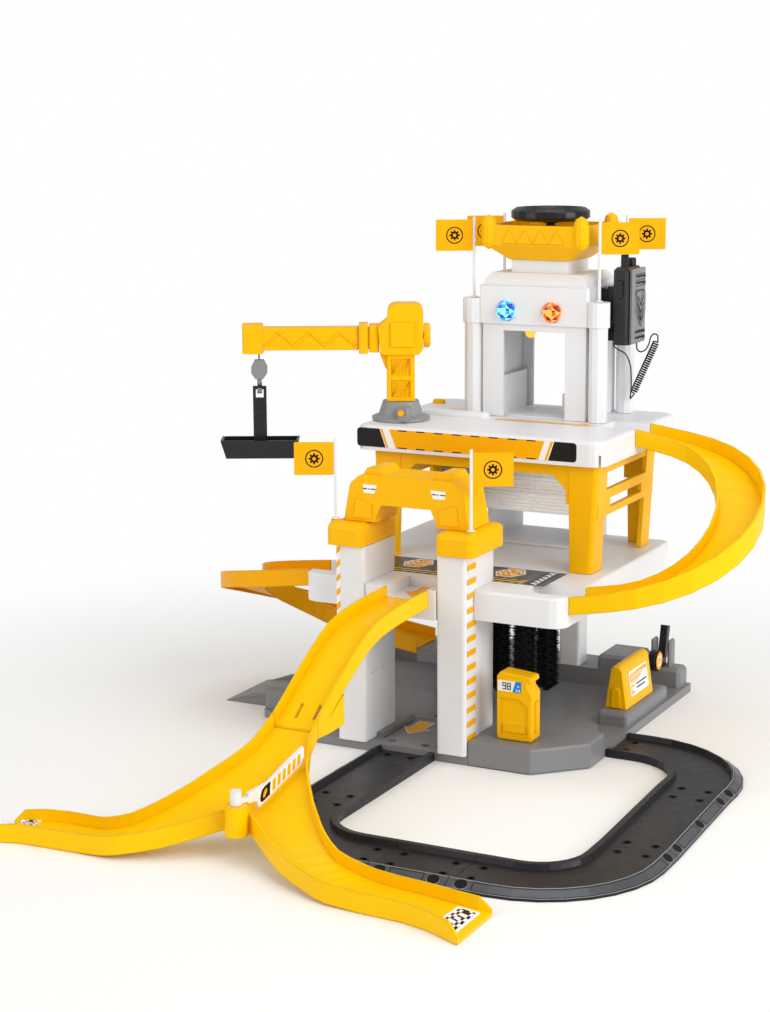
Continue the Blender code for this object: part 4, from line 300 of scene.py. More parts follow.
LENS_TONES = {"lamp_blue": ((12, 70, 170), (25, 140, 225), (120, 215, 255)),
              "lamp_orange": ((150, 30, 5), (235, 85, 15), (255, 160, 70)),
              "lamp_amber": ((225, 150, 20), (250, 190, 50), (255, 225, 130))}
LENS_RINGS = ((9.6, 0.0), (9.2, 1.8), (6.6, 3.2), (3.4, 3.9))   # radius, height over the wall
LENS_SIDES = 8
LENS_BARE = 1.7                # how far the CAD's lens may stand out before the facets must too
LAMP_SIDE = 9                  # from a lamp's centre to the plain wall beside it


def lamps():
    """Three lit lenses; the two on the wall are cut into facets of three tones."""
    for node, tones in LENS_TONES.items():
        mats = [lens(f"{node}_tone_{k}", srgb(*tone), 0.25 + 0.3 * k)
                for k, tone in enumerate(tones)]
        dress(node, mats[1])
        if node == "lamp_amber":
            continue
        low, high = [Vector(c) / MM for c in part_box(node)]
        cu, cv = (low.x + high.x) / 2, (low.z + high.z) / 2
        beside = Vector((cu + LAMP_SIDE, 0, cv))
        wall = surface("tower_shell").ray_cast(beside, Vector((0, 1, 0)))[0].y
        more = max(0.0, wall - low.y - LENS_BARE)
        bm = bmesh.new()
        rows = []
        for j, (r, out) in enumerate(LENS_RINGS):
            y = wall - out - (more if j > 1 else 0)
            start = TAU / (2 * LENS_SIDES) * (1 + j % 2)
            rows.append([bm.verts.new(Vector((u, y, v)) * MM)
                         for u, v in disc(cu, cv, r, sides=LENS_SIDES, start=start)])
        for j, (outer, inner) in enumerate(zip(rows, rows[1:])):
            for k in range(LENS_SIDES):
                n = (k + 1) % LENS_SIDES
                near, far = (k, n) if j % 2 == 0 else (n, k)
                for m, corners in enumerate(((outer[k], outer[n], inner[near]),
                                             (inner[k], inner[n], outer[far]))):
                    bm.faces.new(corners).material_index = (k * 2 + j + m * 2) % len(mats)
        bm.faces.new(rows[-1]).material_index = len(mats) - 1
        bmesh.ops.recalc_face_normals(bm, faces=bm.faces)
        finish_piece(node + "_facets", bm, mats, "garage")


# Stickers and printed marks: flat shapes in layers on one face of the toy
LIFT = 0.12                    # millimetres between layers
ROAD_TOP = 8.0                 # upper faces of the base's road, the middle deck's exit
EXIT_TOP = 138.0               # and plain part, and the top deck
BAY_TOP = 147.0
DECK_TOP = 263.0
FORK_FLOOR = 6.4               # the most that the fork's floor rises at its lower ends


def surface(node):
    """The CAD surface of a node in millimetres, for rays."""
    mesh = NODES[node].data
    return BVHTree.FromPolygons([v.co / MM for v in mesh.vertices],
                                [tuple(p.vertices) for p in mesh.polygons])


def on_front(y):
    return lambda u, v, h: (u, y - h, v)


def on_right(x):
    return lambda u, v, h: (x + h, u, v)


def on_top(z):
    return lambda u, v, h: (u, v, z + h)


def walls(bm, low, high):
    """Quads between two rings of the same length."""
    for k in range(len(low)):
        n = (k + 1) % len(low)
        bm.faces.new((low[k], low[n], high[n], high[k]))


def finish_piece(name, bm, mats, body):
    mesh = bpy.data.meshes.new(name)
    bm.to_mesh(mesh)
    bm.free()
    for mat in mats:
        mesh.materials.append(mat)
    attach(link(name, mesh), body)


def stickers(name, body, place, shapes):
    """One piece of printed film: each shape is a material, a layer and an outline in mm."""
    bm = bmesh.new()
    mats = []
    for mat, layer, outline in shapes:
        if mat not in mats:
            mats.append(mat)
        corners = [bm.verts.new(Vector(place(u, v, LIFT * layer)) * MM) for u, v in outline]
        face = bm.faces.new(corners)
        face.material_index = mats.index(mat)
        u, v = outline[0]
        out = Vector(place(u, v, 1)) - Vector(place(u, v, 0))
        face.normal_update()
        if face.normal.dot(out) < 0:
            face.normal_flip()
    finish_piece(name, bm, mats, body)


def rect(u0, v0, u1, v1, lean=0.0):
    return [(u0, v0), (u1, v0), (u1 + lean, v1), (u0 + lean, v1)]


def soft_rect(u0, v0, u1, v1, r, corners=4):
    """Rectangle with rounded corners."""
    points = []
    for cu, cv, start in ((u1 - r, v1 - r, 0), (u0 + r, v1 - r, 90), (u0 + r, v0 + r, 180),
                          (u1 - r, v0 + r, 270)):
        for k in range(corners + 1):
            a = math.radians(start + 90 * k / corners)
            points.append((cu + r * math.cos(a), cv + r * math.sin(a)))
    return points


def disc(cu, cv, ru, rv=None, sides=24, start=0.0):
    rv = ru if rv is None else rv
    angles = [start + TAU * k / sides for k in range(sides)]
    return [(cu + ru * math.cos(a), cv + rv * math.sin(a)) for a in angles]


def ring(cu, cv, out, inner, sides=28):
    """A flat ring as a row of quads."""
    a, b = disc(cu, cv, out, sides=sides), disc(cu, cv, inner, sides=sides)
    return [[a[k], a[(k + 1) % sides], b[(k + 1) % sides], b[k]] for k in range(sides)]


def strokes(points, width, close=False):
    """Straight strokes along points, each with its ends run out by half its width."""
    quads = []
    pairs = list(zip(points, points[1:])) + ([(points[-1], points[0])] if close else [])
    for (u0, v0), (u1, v1) in pairs:
        d = Vector((u1 - u0, v1 - v0)).normalized() * width / 2
        n = Vector((-d.y, d.x))
        a, b = Vector((u0, v0)) - d, Vector((u1, v1)) + d
        quads.append([tuple(a + n), tuple(b + n), tuple(b - n), tuple(a - n)])
    return quads


def slashes(u0, v0, u1, v1, pitch, wide, lean):
    """Slanted bars that fill a rectangle, cut off at its ends."""
    bars = []
    u = u0 - lean
    while u < u1:
        low = [max(u0, min(u1, x)) for x in (u, u + wide)]
        high = [max(u0, min(u1, x + lean)) for x in (u, u + wide)]
        if low[1] - low[0] > 0.2 or high[1] - high[0] > 0.2:
            bars.append([(low[0], v0), (low[1] + 0.01, v0), (high[1] + 0.01, v1), (high[0], v1)])
        u += pitch
    return bars


SEGMENTS = {"a": ((0, 1), (1, 1)), "b": ((1, 1), (1, 0.5)), "c": ((1, 0.5), (1, 0)),
            "d": ((0, 0), (1, 0)), "e": ((0, 0.5), (0, 0)), "f": ((0, 1), (0, 0.5)),
            "g": ((0, 0.5), (1, 0.5))}
DIGITS = {"0": "abcdef", "1": "bc", "2": "abged", "8": "abcdefg", "9": "abcdfg"}


def number(text, cu, cv, high, width, slim=0.5):
    """Plain numerals from straight strokes."""
    quads = []
    wide = high * slim
    step = wide + high * 0.3
    left = cu - (step * len(text) - high * 0.3) / 2
    for k, digit in enumerate(text):
        for key in DIGITS[digit]:
            ends = [(left + k * step + a * wide, cv - high / 2 + b * high)
                    for a, b in SEGMENTS[key]]
            quads += strokes(ends, width)
    return quads


def top_sign():
    """Panel along the top deck's front: dark ends, slashes and dashes, and no words."""
    low, high = 244.3, 260.8
    shapes = [(P_BLACK, 1, [(-84.5, low), (-58.9, low), (-64.9, high), (-84.5, high),
                            (-86.3, high - 0.8), (-87.1, high - 2.8), (-87.1, low + 2.8),
                            (-86.3, low + 0.8)]),
              (P_BLACK, 1, [(95.0, low), (118.2, low), (120.0, low + 0.8), (120.8, low + 2.8),
                            (120.8, high - 2.8), (120.0, high - 0.8), (118.2, high),
                            (100.6, high)]),
              (P_WHITE, 1, [(-58.9, low), (95.0, low), (100.6, high), (-64.9, high)]),
              (P_ORANGE, 2, rect(-58.2, low, -56.1, high, -5.9)),
              (P_ORANGE, 2, [(-48.7, low), (86.0, low), (91.8, high), (-55.5, high)]),
              (P_ORANGE, 2, rect(91.7, low, 94.0, high, 5.8))]
    for k in range(8):
        u = -46.6 + 17.4 * k
        shapes.append((P_BLACK, 3, rect(u, high - 1.1, u + 8.4, high - 0.1)))
        shapes.append((P_BLACK, 3, rect(u, low + 0.1, u + 8.4, low + 1.1)))
    stickers("top_sign", "garage", on_front(-44), shapes)


def arch_marks():
    """A pale plate with three dashes on both sides of the arch's front."""
    shapes = []
    for outline, spans in ((((-33.0, 221.9), (-23.0, 221.7), (-20.6, 229.1), (-33.7, 229.2)),
                            ((-33.4, -29.7), (-28.6, -27.4), (-26.4, -22.0))),
                           (((31.4, 221.7), (42.2, 221.9), (42.8, 228.6), (28.6, 228.9)),
                            ((30.4, 34.2), (35.4, 36.5), (38.0, 42.5)))):
        shapes.append((P_WHITE, 1, outline))
        shapes += [(P_BLACK, 2, rect(a, 225.0, b, 225.9)) for a, b in spans]
    stickers("arch_marks", "garage", on_front(-135), shapes)


MARK_PITCH = 12.09             # between the marks on both pillars


def pillar_strips():
    """Dashes on the right pillar's side and slanted marks on the left one's front."""
    dashes = []
    for k in range(13):
        z = 165.6 - MARK_PITCH * k
        dashes.append((P_ORANGE, 1, rect(-142.3, z, -125.7, z + 4.8)))
    stickers("pillar_dashes", "garage", on_right(66), dashes)
    u0, u1 = -53.6, -50.2
    bars = [(P_WHITE, 1, rect(u0 - 0.1, 34, u1 + 0.1, 177))]
    for k in range(12):
        z = 36.5 + MARK_PITCH * k
        bars.append((P_ORANGE, 2, [(u0, z), (u1, z + 3.4), (u1, z + 8.6), (u0, z + 5.2)]))
    stickers("pillar_slashes", "garage", on_front(-146), bars)


def bay_prints():
    """Two numbered bays on the middle deck, with hazard edges and a row of chevrons."""
    shapes = [(P_GREY, 1, rect(-64, -92.5, 112.5, -40)), (P_BLACK, 2, rect(-64, -92, 94, -78))]
    shapes += [(P_YELLOW, 3, bar) for bar in slashes(-64, -92, 94, -79, 9, 4.4, 11)]
    shapes.append((P_BLACK, 2, rect(95, -92, 107, -40.5)))
    for k in range(6):
        v = -86 + 8 * k
        shapes += [(P_WHITE, 3, [(97.4, v), (104.8, v - 5), (104.8, v - 2), (101.0, v)]),
                   (P_WHITE, 3, [(97.4, v), (101.0, v), (104.8, v + 2), (104.8, v + 5)])]
    for text, u in (("01", -20.0), ("02", 67.5)):
        shapes.append((P_WHITE, 2, disc(u, -58, 14.0, 18.0, sides=6)))
        shapes.append((P_ORANGE, 3, disc(u, -58, 12.6, 15.8, sides=6)))
        shapes += [(P_WHITE, 4, q) for q in number(text, u, -58, 16.5, 1.9, 0.34)]
    stickers("bay_prints", "garage", on_top(BAY_TOP), shapes)


def arrow(u, tip, grow=0.0):
    """Outline of an arrow towards the gate, grown outwards for its border."""
    neck, tail = tip + 16 + grow * 0.8, tip + 35 + grow
    half, barb = 6 + grow, 12.5 + grow * 1.4
    return [(u, tip - grow * 1.6), (u + barb, neck), (u + half, neck), (u + half, tail),
            (u - half, tail), (u - half, neck), (u - barb, neck)]


def arrows():
    for name, u, tip, z in (("road_arrow", -6.0, -106.0, ROAD_TOP),
                            ("exit_arrow", 12.0, -139.0, EXIT_TOP)):
        stickers(name, "garage", on_top(z),
                 [(P_WHITE, 1, arrow(u, tip, 1.1)), (P_ORANGE, 2, arrow(u, tip))])


def deck_arrow():
    """Long arrow on the top deck, along its front edge towards the right slide."""
    outline = [(10, 33), (88, 33), (88, 28), (108, 37), (88, 46), (88, 41), (10, 41)]
    stickers("deck_arrow", "garage", on_top(DECK_TOP), [(P_ORANGE, 1, outline)])


DIVERTER_TURN = math.radians(-19)
DIVERTER_PIVOT = Vector((9, -417, 0))
BLADE_FROM, BLADE_TO = 24, 62  # where the blade's height is read, from the pivot


def diverter_print():
    """Slashes along the diverter's blade, with a dark rounded end by the pivot."""
    along = Vector((-math.sin(DIVERTER_TURN), math.cos(DIVERTER_TURN), 0))
    out = Vector((math.cos(DIVERTER_TURN), math.sin(DIVERTER_TURN), 0))
    pivot = DIVERTER_PIVOT
    blade = surface("diverter_arm")

    def hit(u, z):
        """The place on the blade's outer face, u along it, or None beside the blade."""
        spot = blade.ray_cast(pivot + along * u + out * 30 + Vector((0, 0, z)), -out, 60)[0]
        return None if spot is None or (spot - pivot).dot(out) < 0.3 else spot

    def span(u):
        heights = [z * 0.25 for z in range(120, 300) if hit(u, z * 0.25)]
        return heights[0], heights[-1]

    low0, high0 = span(BLADE_FROM)
    low1, high1 = span(BLADE_TO)

    def place(u, v, h):
        """u runs along the blade in mm, v up it from 0 to 1."""
        part = (u - BLADE_FROM) / (BLADE_TO - BLADE_FROM)
        low, high = low0 + (low1 - low0) * part, high0 + (high1 - high0) * part
        spot = hit(u, low + (high - low) * 0.5) or hit(40, (low0 + high1) / 2)
        flat = pivot + along * u + out * (spot - pivot).dot(out)
        return (*(flat + out * h).xy, low + (high - low) * v)

    shapes = [(P_WHITE, 1, [(20.5, 0.08), (63, 0.08), (63, 0.92), (20.5, 0.92)])]
    for k in range(6):
        u = 33.5 + 4.9 * k
        shapes.append((P_ORANGE, 2, rect(u, 0.17, u + 3.0, 0.83, 0.6)))
    shapes.append((P_BLACK, 2, [(22.2, 0.62), (21.6, 0.4), (22.2, 0.2), (24.2, 0.13), (31.0, 0.13),
                                (31.8, 0.87), (25.4, 0.87), (23.4, 0.8)]))
    shapes.append((P_ORANGE, 3, [(24.0, 0.35), (26.0, 0.28), (28.4, 0.5), (27.6, 0.74),
                                 (25.2, 0.62)]))
    stickers("diverter_print", BODY_OF["diverter_arm"], place, shapes)


FINISH_PANELS = {"finish_right": ((194, -466), (196, -436), (213, -437), (213, -479)),
                 "finish_left": ((-160, -437), (-161, -422.5), (-177, -425.5), (-176, -440))}
FINISH_COLS, FINISH_ROWS = 8, 16


def finish_prints():
    """Checked panels on the floor at the two lower ends of the fork, with plain bars inside."""
    fork = surface("slide_fork")
    cols, rows = FINISH_COLS, FINISH_ROWS

    def cell(i, j):
        return rect(i / cols, j / rows, (i + 1) / cols, (j + 1) / rows)

    shapes = [(P_WHITE if i in (0, cols - 1) or j in (0, rows - 1) else P_BLACK, 1, cell(i, j))
              for i in range(cols) for j in range(rows)]
    for i in range(1, cols - 1):
        for j in range(1, rows - 1):
            check = i in (1, 2, cols - 3, cols - 2) and (i + j // 2) % 2 == 0
            bar = i in (3, 4) and 3 <= j <= rows - 4 and j % 3 != 0
            if check or bar:
                shapes.append((P_WHITE, 2, cell(i, j)))
    for name, corners in FINISH_PANELS.items():
        c = [Vector((*xy, 0)) for xy in corners]

        def place(u, v, h, c=c):
            spot = (c[0].lerp(c[1], v)).lerp(c[3].lerp(c[2], v), u)
            below = fork.ray_cast(Vector((spot.x, spot.y, 40)), Vector((0, 0, -1)))[0]
            return (spot.x, spot.y, (min(below.z, FORK_FLOOR) if below else FORK_FLOOR) + h + 0.05)

        stickers(name, "garage", place, shapes)


PUMP_FOOT_X, PUMP_FOOT_Z = 152.0, 20.3
PUMP_LEAN = math.atan2(5.2, 34.4)


def pump_label():
    """Notice on the pump's leaning side, and the disc with a plain mark on its nozzle."""
    def place(u, v, h):
        return (PUMP_FOOT_X - (v - PUMP_FOOT_Z) * math.tan(PUMP_LEAN) + h * math.cos(PUMP_LEAN),
                u, v + h * math.sin(PUMP_LEAN))

    shapes = [(P_WHITE, 1, soft_rect(17, 28, 61, 50, 1.5)),
              (P_ORANGE, 2, [(18.5, 41), (44, 41), (48, 44.6), (59.5, 44.6), (59.5, 48.6),
                             (18.5, 47)]),
              (P_ORANGE, 2, rect(19, 39.4, 40, 40.2)), (P_ORANGE, 2, rect(19, 30, 27, 37.5))]
    shapes += [(P_WHITE, 3, rect(21 + 5.2 * k, 42.2, 23.2 + 5.2 * k, 46.2, 0.8)) for k in range(7)]
    shapes += [(P_WHITE, 3, rect(20.6, 31.6, 25.4, 36)), (P_BLACK, 3, rect(31, 36.0, 57, 37.2)),
               (P_BLACK, 3, rect(31, 32.6, 52, 33.8))]
    stickers("pump_label", "garage", place, shapes)
    shapes = [(P_ORANGE, 1, disc(113.9, 36, 8.2)),
              (P_WHITE, 2, soft_rect(109.4, 31.4, 118.2, 40.8, 1)),
              (P_ORANGE, 3, rect(111, 33, 114.6, 39.4)),
              (P_ORANGE, 3, rect(115.4, 34, 116.6, 38.6))]
    stickers("nozzle_disc", BODY_OF["fuel_nozzle"], on_right(141.5), shapes)


def handset_grooves():
    """Slots and nested angles on the handset's face."""
    shapes = []
    for v in (390.2, 384.6, 342.0, 336.6):
        shapes += [(GROOVE_AND_SHADE, 1, rect(73.5, v, 95.5, v + 1.5)),
                   (GROOVE_AND_SHADE, 1, rect(92.5, v - 1.2, 95.5, v))]
    shield = [(73.5, 378.5), (91, 378.5), (95.5, 374), (95.5, 361), (84.5, 347), (73.5, 361)]
    shapes += [(GROOVE_AND_SHADE, 1, q) for q in strokes(shield, 0.9, close=True)]
    for v in (373, 367, 361):
        shapes += [(GROOVE_AND_SHADE, 2, q) for q in strokes([(78, v), (84.5, v - 8), (91, v)], 1.3)]
    shapes += [(GROOVE_AND_SHADE, 2, q) for q in strokes([(81, 355.5), (84.5, 351), (88, 355.5)], 1.0)]
    stickers("handset_grooves", BODY_OF["handset_face"], on_right(128.2), shapes)


BRISTLE_FROM, BRISTLE_TIP = 6.0, 11.3     # radii
BRISTLE_ROWS, BRISTLES_AROUND = 36, 18
CORE_R, CORE_SIDES = 6.6, 14
CAD_BRISTLE = 9                # only the CAD's bristles reach past this radius


def brush_tufts():
    """A dark core and rows of fine bristles that fill the CAD brushes."""
    for node in ("wash_brush_1", "wash_brush_2", "wash_brush_3"):
        low, high = [Vector(c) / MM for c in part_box(node)]
        axis = Vector(((low.x + high.x) / 2, (low.y + high.y) / 2, 0))
        heights = [v.co.z / MM for v in NODES[node].data.vertices
                   if (v.co.xy / MM - axis.xy).length > CAD_BRISTLE]
        foot, top = min(heights), max(heights)
        bm = bmesh.new()
        rings = [[bm.verts.new((axis + Vector((x, y, z))) * MM)
                  for x, y in disc(0, 0, CORE_R, sides=CORE_SIDES)] for z in (foot, top)]
        bm.faces.new(rings[0][::-1])
        bm.faces.new(rings[1])
        walls(bm, *rings)
        for j in range(BRISTLE_ROWS):
            z = foot + 0.8 + (top - foot - 1.6) * j / (BRISTLE_ROWS - 1)
            for i in range(BRISTLES_AROUND):
                a = TAU * (i + 0.5 * (j % 2)) / BRISTLES_AROUND
                way = Vector((math.cos(a), math.sin(a), 0))
                side = Vector((-way.y, way.x, 0))
                root = axis + way * BRISTLE_FROM + Vector((0, 0, z))
                base = [root + side * 0.62 * math.cos(b) + Vector((0, 0, 0.8 * math.sin(b)))
                        for b in (TAU / 4, TAU * 7 / 12, TAU * 11 / 12)]
                tip = bm.verts.new((axis + way * BRISTLE_TIP + Vector((0, 0, z + 0.5))) * MM)
                feet = [bm.verts.new(v * MM) for v in base]
                for m in range(3):
                    bm.faces.new((feet[m], feet[(m + 1) % 3], tip))
                bm.faces.new(feet[::-1])
        bmesh.ops.recalc_face_normals(bm, faces=bm.faces)
        finish_piece(node + "_tufts", bm, [BRISTLES], BODY_OF[node])


CURTAIN_SIDES = (-44.8, 100.8)
CURTAIN_FOOT, CURTAIN_TOP, CURTAIN_RIB = 180.4, 250.4, 3.0
CURTAIN_BACK = 43.6
# Strength of the curtain's glow, which is painted light: the curtain is no lamp.
CURTAIN_PAINTED_GLOW = 0.16


def shutter_curtain():
    """Ribbed silver curtain over the shutter panel, with painted shade at its upper left and a
    painted highlight and faint glow towards its lower right.
    """
    mat = plastic("curtain_silver_painted_light", srgb(200, 198, 198), 0.28, grain=0.1, edge=0, coat=0.2)
    nodes, links = mat.node_tree.nodes, mat.node_tree.links
    shader = nodes["Principled BSDF"]
    # Painted shade to painted highlight across the curtain, from X less Z: darkest at its upper
    # left, palest at its lower right, and glowing faintly.
    split = nodes.new("ShaderNodeSeparateXYZ")
    links.new(nodes.new("ShaderNodeTexCoord").outputs["Object"], split.inputs[0])
    shift = nodes.new("ShaderNodeMath")
    shift.operation = 'SUBTRACT'
    links.new(split.outputs["X"], shift.inputs[0])
    links.new(split.outputs["Z"], shift.inputs[1])
    spread = nodes.new("ShaderNodeMapRange")
    spread.inputs["From Min"].default_value = -0.250
    spread.inputs["From Max"].default_value = -0.150
    links.new(shift.outputs[0], spread.inputs["Value"])
    ramp = nodes.new("ShaderNodeValToRGB")
    ramp.color_ramp.elements[0].color = (*srgb(120, 112, 108), 1)
    ramp.color_ramp.elements[1].color = (*srgb(246, 246, 246), 1)
    links.new(spread.outputs["Result"], ramp.inputs["Fac"])
    links.new(ramp.outputs["Color"], shader.inputs["Base Color"])
    links.new(ramp.outputs["Color"], shader.inputs["Emission Color"])
    shader.inputs["Emission Strength"].default_value = CURTAIN_PAINTED_GLOW
    bm = bmesh.new()
    profile = [(CURTAIN_BACK, CURTAIN_FOOT), (40.6, CURTAIN_FOOT)]
    z = CURTAIN_FOOT
    while z + CURTAIN_RIB <= CURTAIN_TOP + 0.01:
        profile += [(39.5, z + 0.5), (39.1, z + 1.4), (39.5, z + 2.3), (40.5, z + CURTAIN_RIB)]
        z += CURTAIN_RIB
    profile.append((CURTAIN_BACK, profile[-1][1]))
    rows = [[bm.verts.new(Vector((x, y, z)) * MM) for y, z in profile] for x in CURTAIN_SIDES]
    walls(bm, *rows)
    bm.faces.new(rows[0])
    bm.faces.new(rows[1][::-1])
    bmesh.ops.recalc_face_normals(bm, faces=bm.faces)
    finish_piece("shutter_curtain", bm, [mat], "garage")


def ribs(name, body, place, outlines, mat, low, high):
    """Low raised shapes over a face, as one piece."""
    bm = bmesh.new()
    for outline in outlines:
        rings = [[bm.verts.new(Vector(place(u, v, h)) * MM) for u, v in outline]
                 for h in (low, high)]
        bm.faces.new(rings[1])
        bm.faces.new(rings[0])
        walls(bm, *rings)
    bmesh.ops.recalc_face_normals(bm, faces=bm.faces)
    finish_piece(name, bm, [mat], body)


SLEWED = math.radians(27.2)    # how far the crane and the flags are turned at rest
CRANE_ALONG = Vector((math.cos(SLEWED), math.sin(SLEWED), 0))
CRANE_OUT = Vector((math.sin(SLEWED), -math.cos(SLEWED), 0))


MAST_AXIS = Vector((-66, 0, 0))
MAST_PANEL_Z = 291             # a height inside the lower sunk panel
SKIP_AXIS = Vector((-178.1, -57.6, 0))


def crane_relief():
    """Diagonal ribs in the mast's two sunk panels, on both sides."""
    mast = surface("crane_mast")
    bars = (slashes(-7.6, 284.6, 7.6, 298.4, 3.2, 1.0, 11)
            + slashes(-7.6, 304.6, 7.6, 319.4, 3.2, 1.0, 11))
    for name, out in (("mast_ribs_front", CRANE_OUT), ("mast_ribs_back", -CRANE_OUT)):
        start = MAST_AXIS + out * 60 + Vector((0, 0, MAST_PANEL_Z))
        depth = (mast.ray_cast(start, -out)[0] - MAST_AXIS).dot(out)

        def place(u, v, h, out=out, depth=depth):
            return MAST_AXIS + CRANE_ALONG * u + out * (depth + h) + Vector((0, 0, v))

        ribs(name, BODY_OF["crane_mast"], place, bars, YELLOW, -0.2, 0.7)


def road_seams():
    """Dark grooves on the base's road behind the gate, and flat dark rectangles there as painted
    shade for its sunk panels.
    """
    lines = (strokes([(-19.5, -128), (-19.5, -70)], 0.7)
             + strokes([(31, -132), (31, -64), (20, -52)], 0.7)
             + strokes([(-24, -63), (30, -63)], 0.6))
    # Painted shade: flat dark rectangles where the road has sunk panels.
    panels = [rect(u, v, u + 9, v + 5) for v in (-52, -38) for u in (-8, 8)]
    stickers("road_seams", "garage", on_top(ROAD_TOP), [(GROOVE_AND_SHADE, 1, q) for q in lines + panels])


def hanger_plate():
    """Dark plate between the skip's two uprights, with four low ribs on both sides."""
    def place(u, v, h):
        return SKIP_AXIS + CRANE_ALONG * u + CRANE_OUT * h + Vector((0, 0, v))

    body = BODY_OF["skip_tray"]
    ribs("hanger_plate", body, place, [soft_rect(-5.7, 233, 5.7, 282, 0.6)], BLACK, -1.2, 1.2)
    for name, way in (("front", 1), ("back", -1)):
        bars = [rect(-2.6, 250 + 8 * k, 2.6, 251.2 + 8 * k) for k in range(4)]
        ribs("hanger_ribs_" + name, body, place, bars, BLACK, way * 1.0, way * 1.6)


def can_label():
    """Small plate with plain numerals on the fuel can's front."""
    low, high = 64.2, 73.4
    shapes = [(P_WHITE, 1, rect(87.2, low, 108.4, high)),
              (P_BLUE, 2, [(100.4, low), (108.4, low), (108.4, high), (103.2, high)])]
    shapes += [(P_BLACK, 2, q) for q in number("98", 95.2, 68.8, 5.2, 0.8)]
    shapes += [(P_WHITE, 3, [(103.4 + k * 2.4, low + 1), (105.2 + k * 2.4, low + 1),
                             (104.3 + k * 2.4, low + 3)]) for k in range(2)]
    shapes.append((P_WHITE, 3, disc(105.6, low + 5.2, 0.8, sides=10)))
    stickers("can_label", "garage", on_front(-128), shapes)


def flag_sheets():
    """Stiff orange sheets on the poles, with a plain gear in a ring on both sides."""
    for name in ("tower_flag_1", "tower_flag_2", "tower_flag_3", "tower_flag_4",
                 "gate_flag_left", "gate_flag_right"):
        low, high = [Vector(c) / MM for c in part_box(name)]
        foot = [v.co / MM for v in NODES[name].data.vertices if v.co.z / MM < low.z + 0.5]
        x, y = (sum(c[i] for c in foot) / len(foot) for i in (0, 1))
        side = 1 if high.x - x > x - low.x else -1
        along = CRANE_ALONG * side
        top = high.z - 3
        for face, out in (("front", CRANE_OUT), ("back", -CRANE_OUT)):
            def place(u, v, h, x=x, y=y, along=along, out=out):
                return Vector((x, y, 0)) + along * u + out * (0.45 + h) + Vector((0, 0, v))

            if face == "front":
                ribs(name + "_sheet", "garage", place,
                     [soft_rect(1.5, top - 27.4, 34.4, top + 0.4, 0.8)], FLAG, -1.15, 0.25)
            cu, cv = 17.6, top - 13.5
            gear = []
            for k in range(8):
                for r, part in ((3.3, -0.32), (4.7, -0.2), (4.7, 0.2), (3.3, 0.32)):
                    a = TAU * (k + part) / 8
                    gear.append((cu + r * math.cos(a), cv + r * math.sin(a)))
            shapes = [(P_BLACK, 3, q) for q in ring(cu, cv, 7.6, 6.6)]
            shapes += [(P_BLACK, 3, gear), (P_ORANGE, 4, disc(cu, cv, 1.5, sides=12))]
            stickers(name + "_emblem_" + face, "garage", place, shapes)


# Outer rail of the track: its sloped face, followed along each piece
RAIL_IN, RAIL_OUT, RAIL_TOP, RAIL_LOW = 21.5, 30.0, 7.0, 1.7
RAIL_FACE = math.hypot(RAIL_OUT - RAIL_IN, RAIL_TOP - RAIL_LOW)


def corner_line(x, y, start, first, last, radius):
    """A quarter turn about (x, y) with a straight run before and after it."""
    angles = [math.radians(start + 90 * k / 8) for k in range(9)]
    turn = [Vector((x + radius * math.cos(a), y + radius * math.sin(a), 0)) for a in angles]
    ways = [Vector((-math.sin(a), math.cos(a), 0)) for a in (angles[0], angles[-1])]
    return [turn[0] - ways[0] * first, *turn, turn[-1] + ways[1] * last]


TRACK = {"track_gate": [Vector((6, -142.3, 0)), Vector((6, -272, 0))],
         "track_corner_left": corner_line(73, -303, 180, 31, 31, 67),
         "track_front": [Vector((104, -370, 0)), Vector((168, -370, 0))],
         "track_corner_right": corner_line(199, -303, 270, 31, 31, 67),
         "track_side": [Vector((266, -272, 0)), Vector((261, -138, 0))],
         "track_corner_rear": corner_line(183, -118, 0, 20, 21.7, 78)}


class Rail:
    """Places on the sloped face of one track piece: u runs along it, v down the slope."""

    def __init__(self, line):
        """Find the run's length and the outward way at each of its points."""
        self.line = line
        self.at = [0.0]
        for a, b in zip(line, line[1:]):
            self.at.append(self.at[-1] + (b - a).length)
        self.length = self.at[-1]
        self.sides = []
        for k in range(len(line)):
            a, b = line[max(k - 1, 0)], line[min(k + 1, len(line) - 1)]
            d = b - a
            if k in (0, len(line) - 1):
                d = Vector((d.x, 0, 0)) if abs(d.x) > abs(d.y) else Vector((0, d.y, 0))
                self.sides.append(Vector((d.y, -d.x, 0)).normalized())
            else:
                n = ((line[k] - a).normalized() + (b - line[k]).normalized()).normalized()
                half = n.dot((b - line[k]).normalized())
                self.sides.append(Vector((n.y, -n.x, 0)) / half)

    def __call__(self, u, v, h):
        u = min(max(u, 0.0), self.length)
        k = max(i for i in range(len(self.at) - 1) if self.at[i] <= u)
        part = (u - self.at[k]) / (self.at[k + 1] - self.at[k])
        down = v / RAIL_FACE
        reach = RAIL_IN + (RAIL_OUT - RAIL_IN) * down + h * (RAIL_TOP - RAIL_LOW) / RAIL_FACE
        z = RAIL_TOP - (RAIL_TOP - RAIL_LOW) * down + h * (RAIL_OUT - RAIL_IN) / RAIL_FACE
        ends = [self.line[i] + self.sides[i] * reach for i in (k, k + 1)]
        spot = ends[0] + (ends[1] - ends[0]) * part
        return (spot.x, spot.y, z)

    def cuts(self, u0, u1):
        """Every corner of the line between two places, with the places themselves."""
        return [u0] + [u for u in self.at if u0 + 0.3 < u < u1 - 0.3] + [u1]

    def bar(self, u0, u1, v0, v1):
        """A strip along the rail, cut at the line's corners."""
        cuts = self.cuts(u0, u1)
        return [rect(a, v0, b, v1) for a, b in zip(cuts, cuts[1:])]


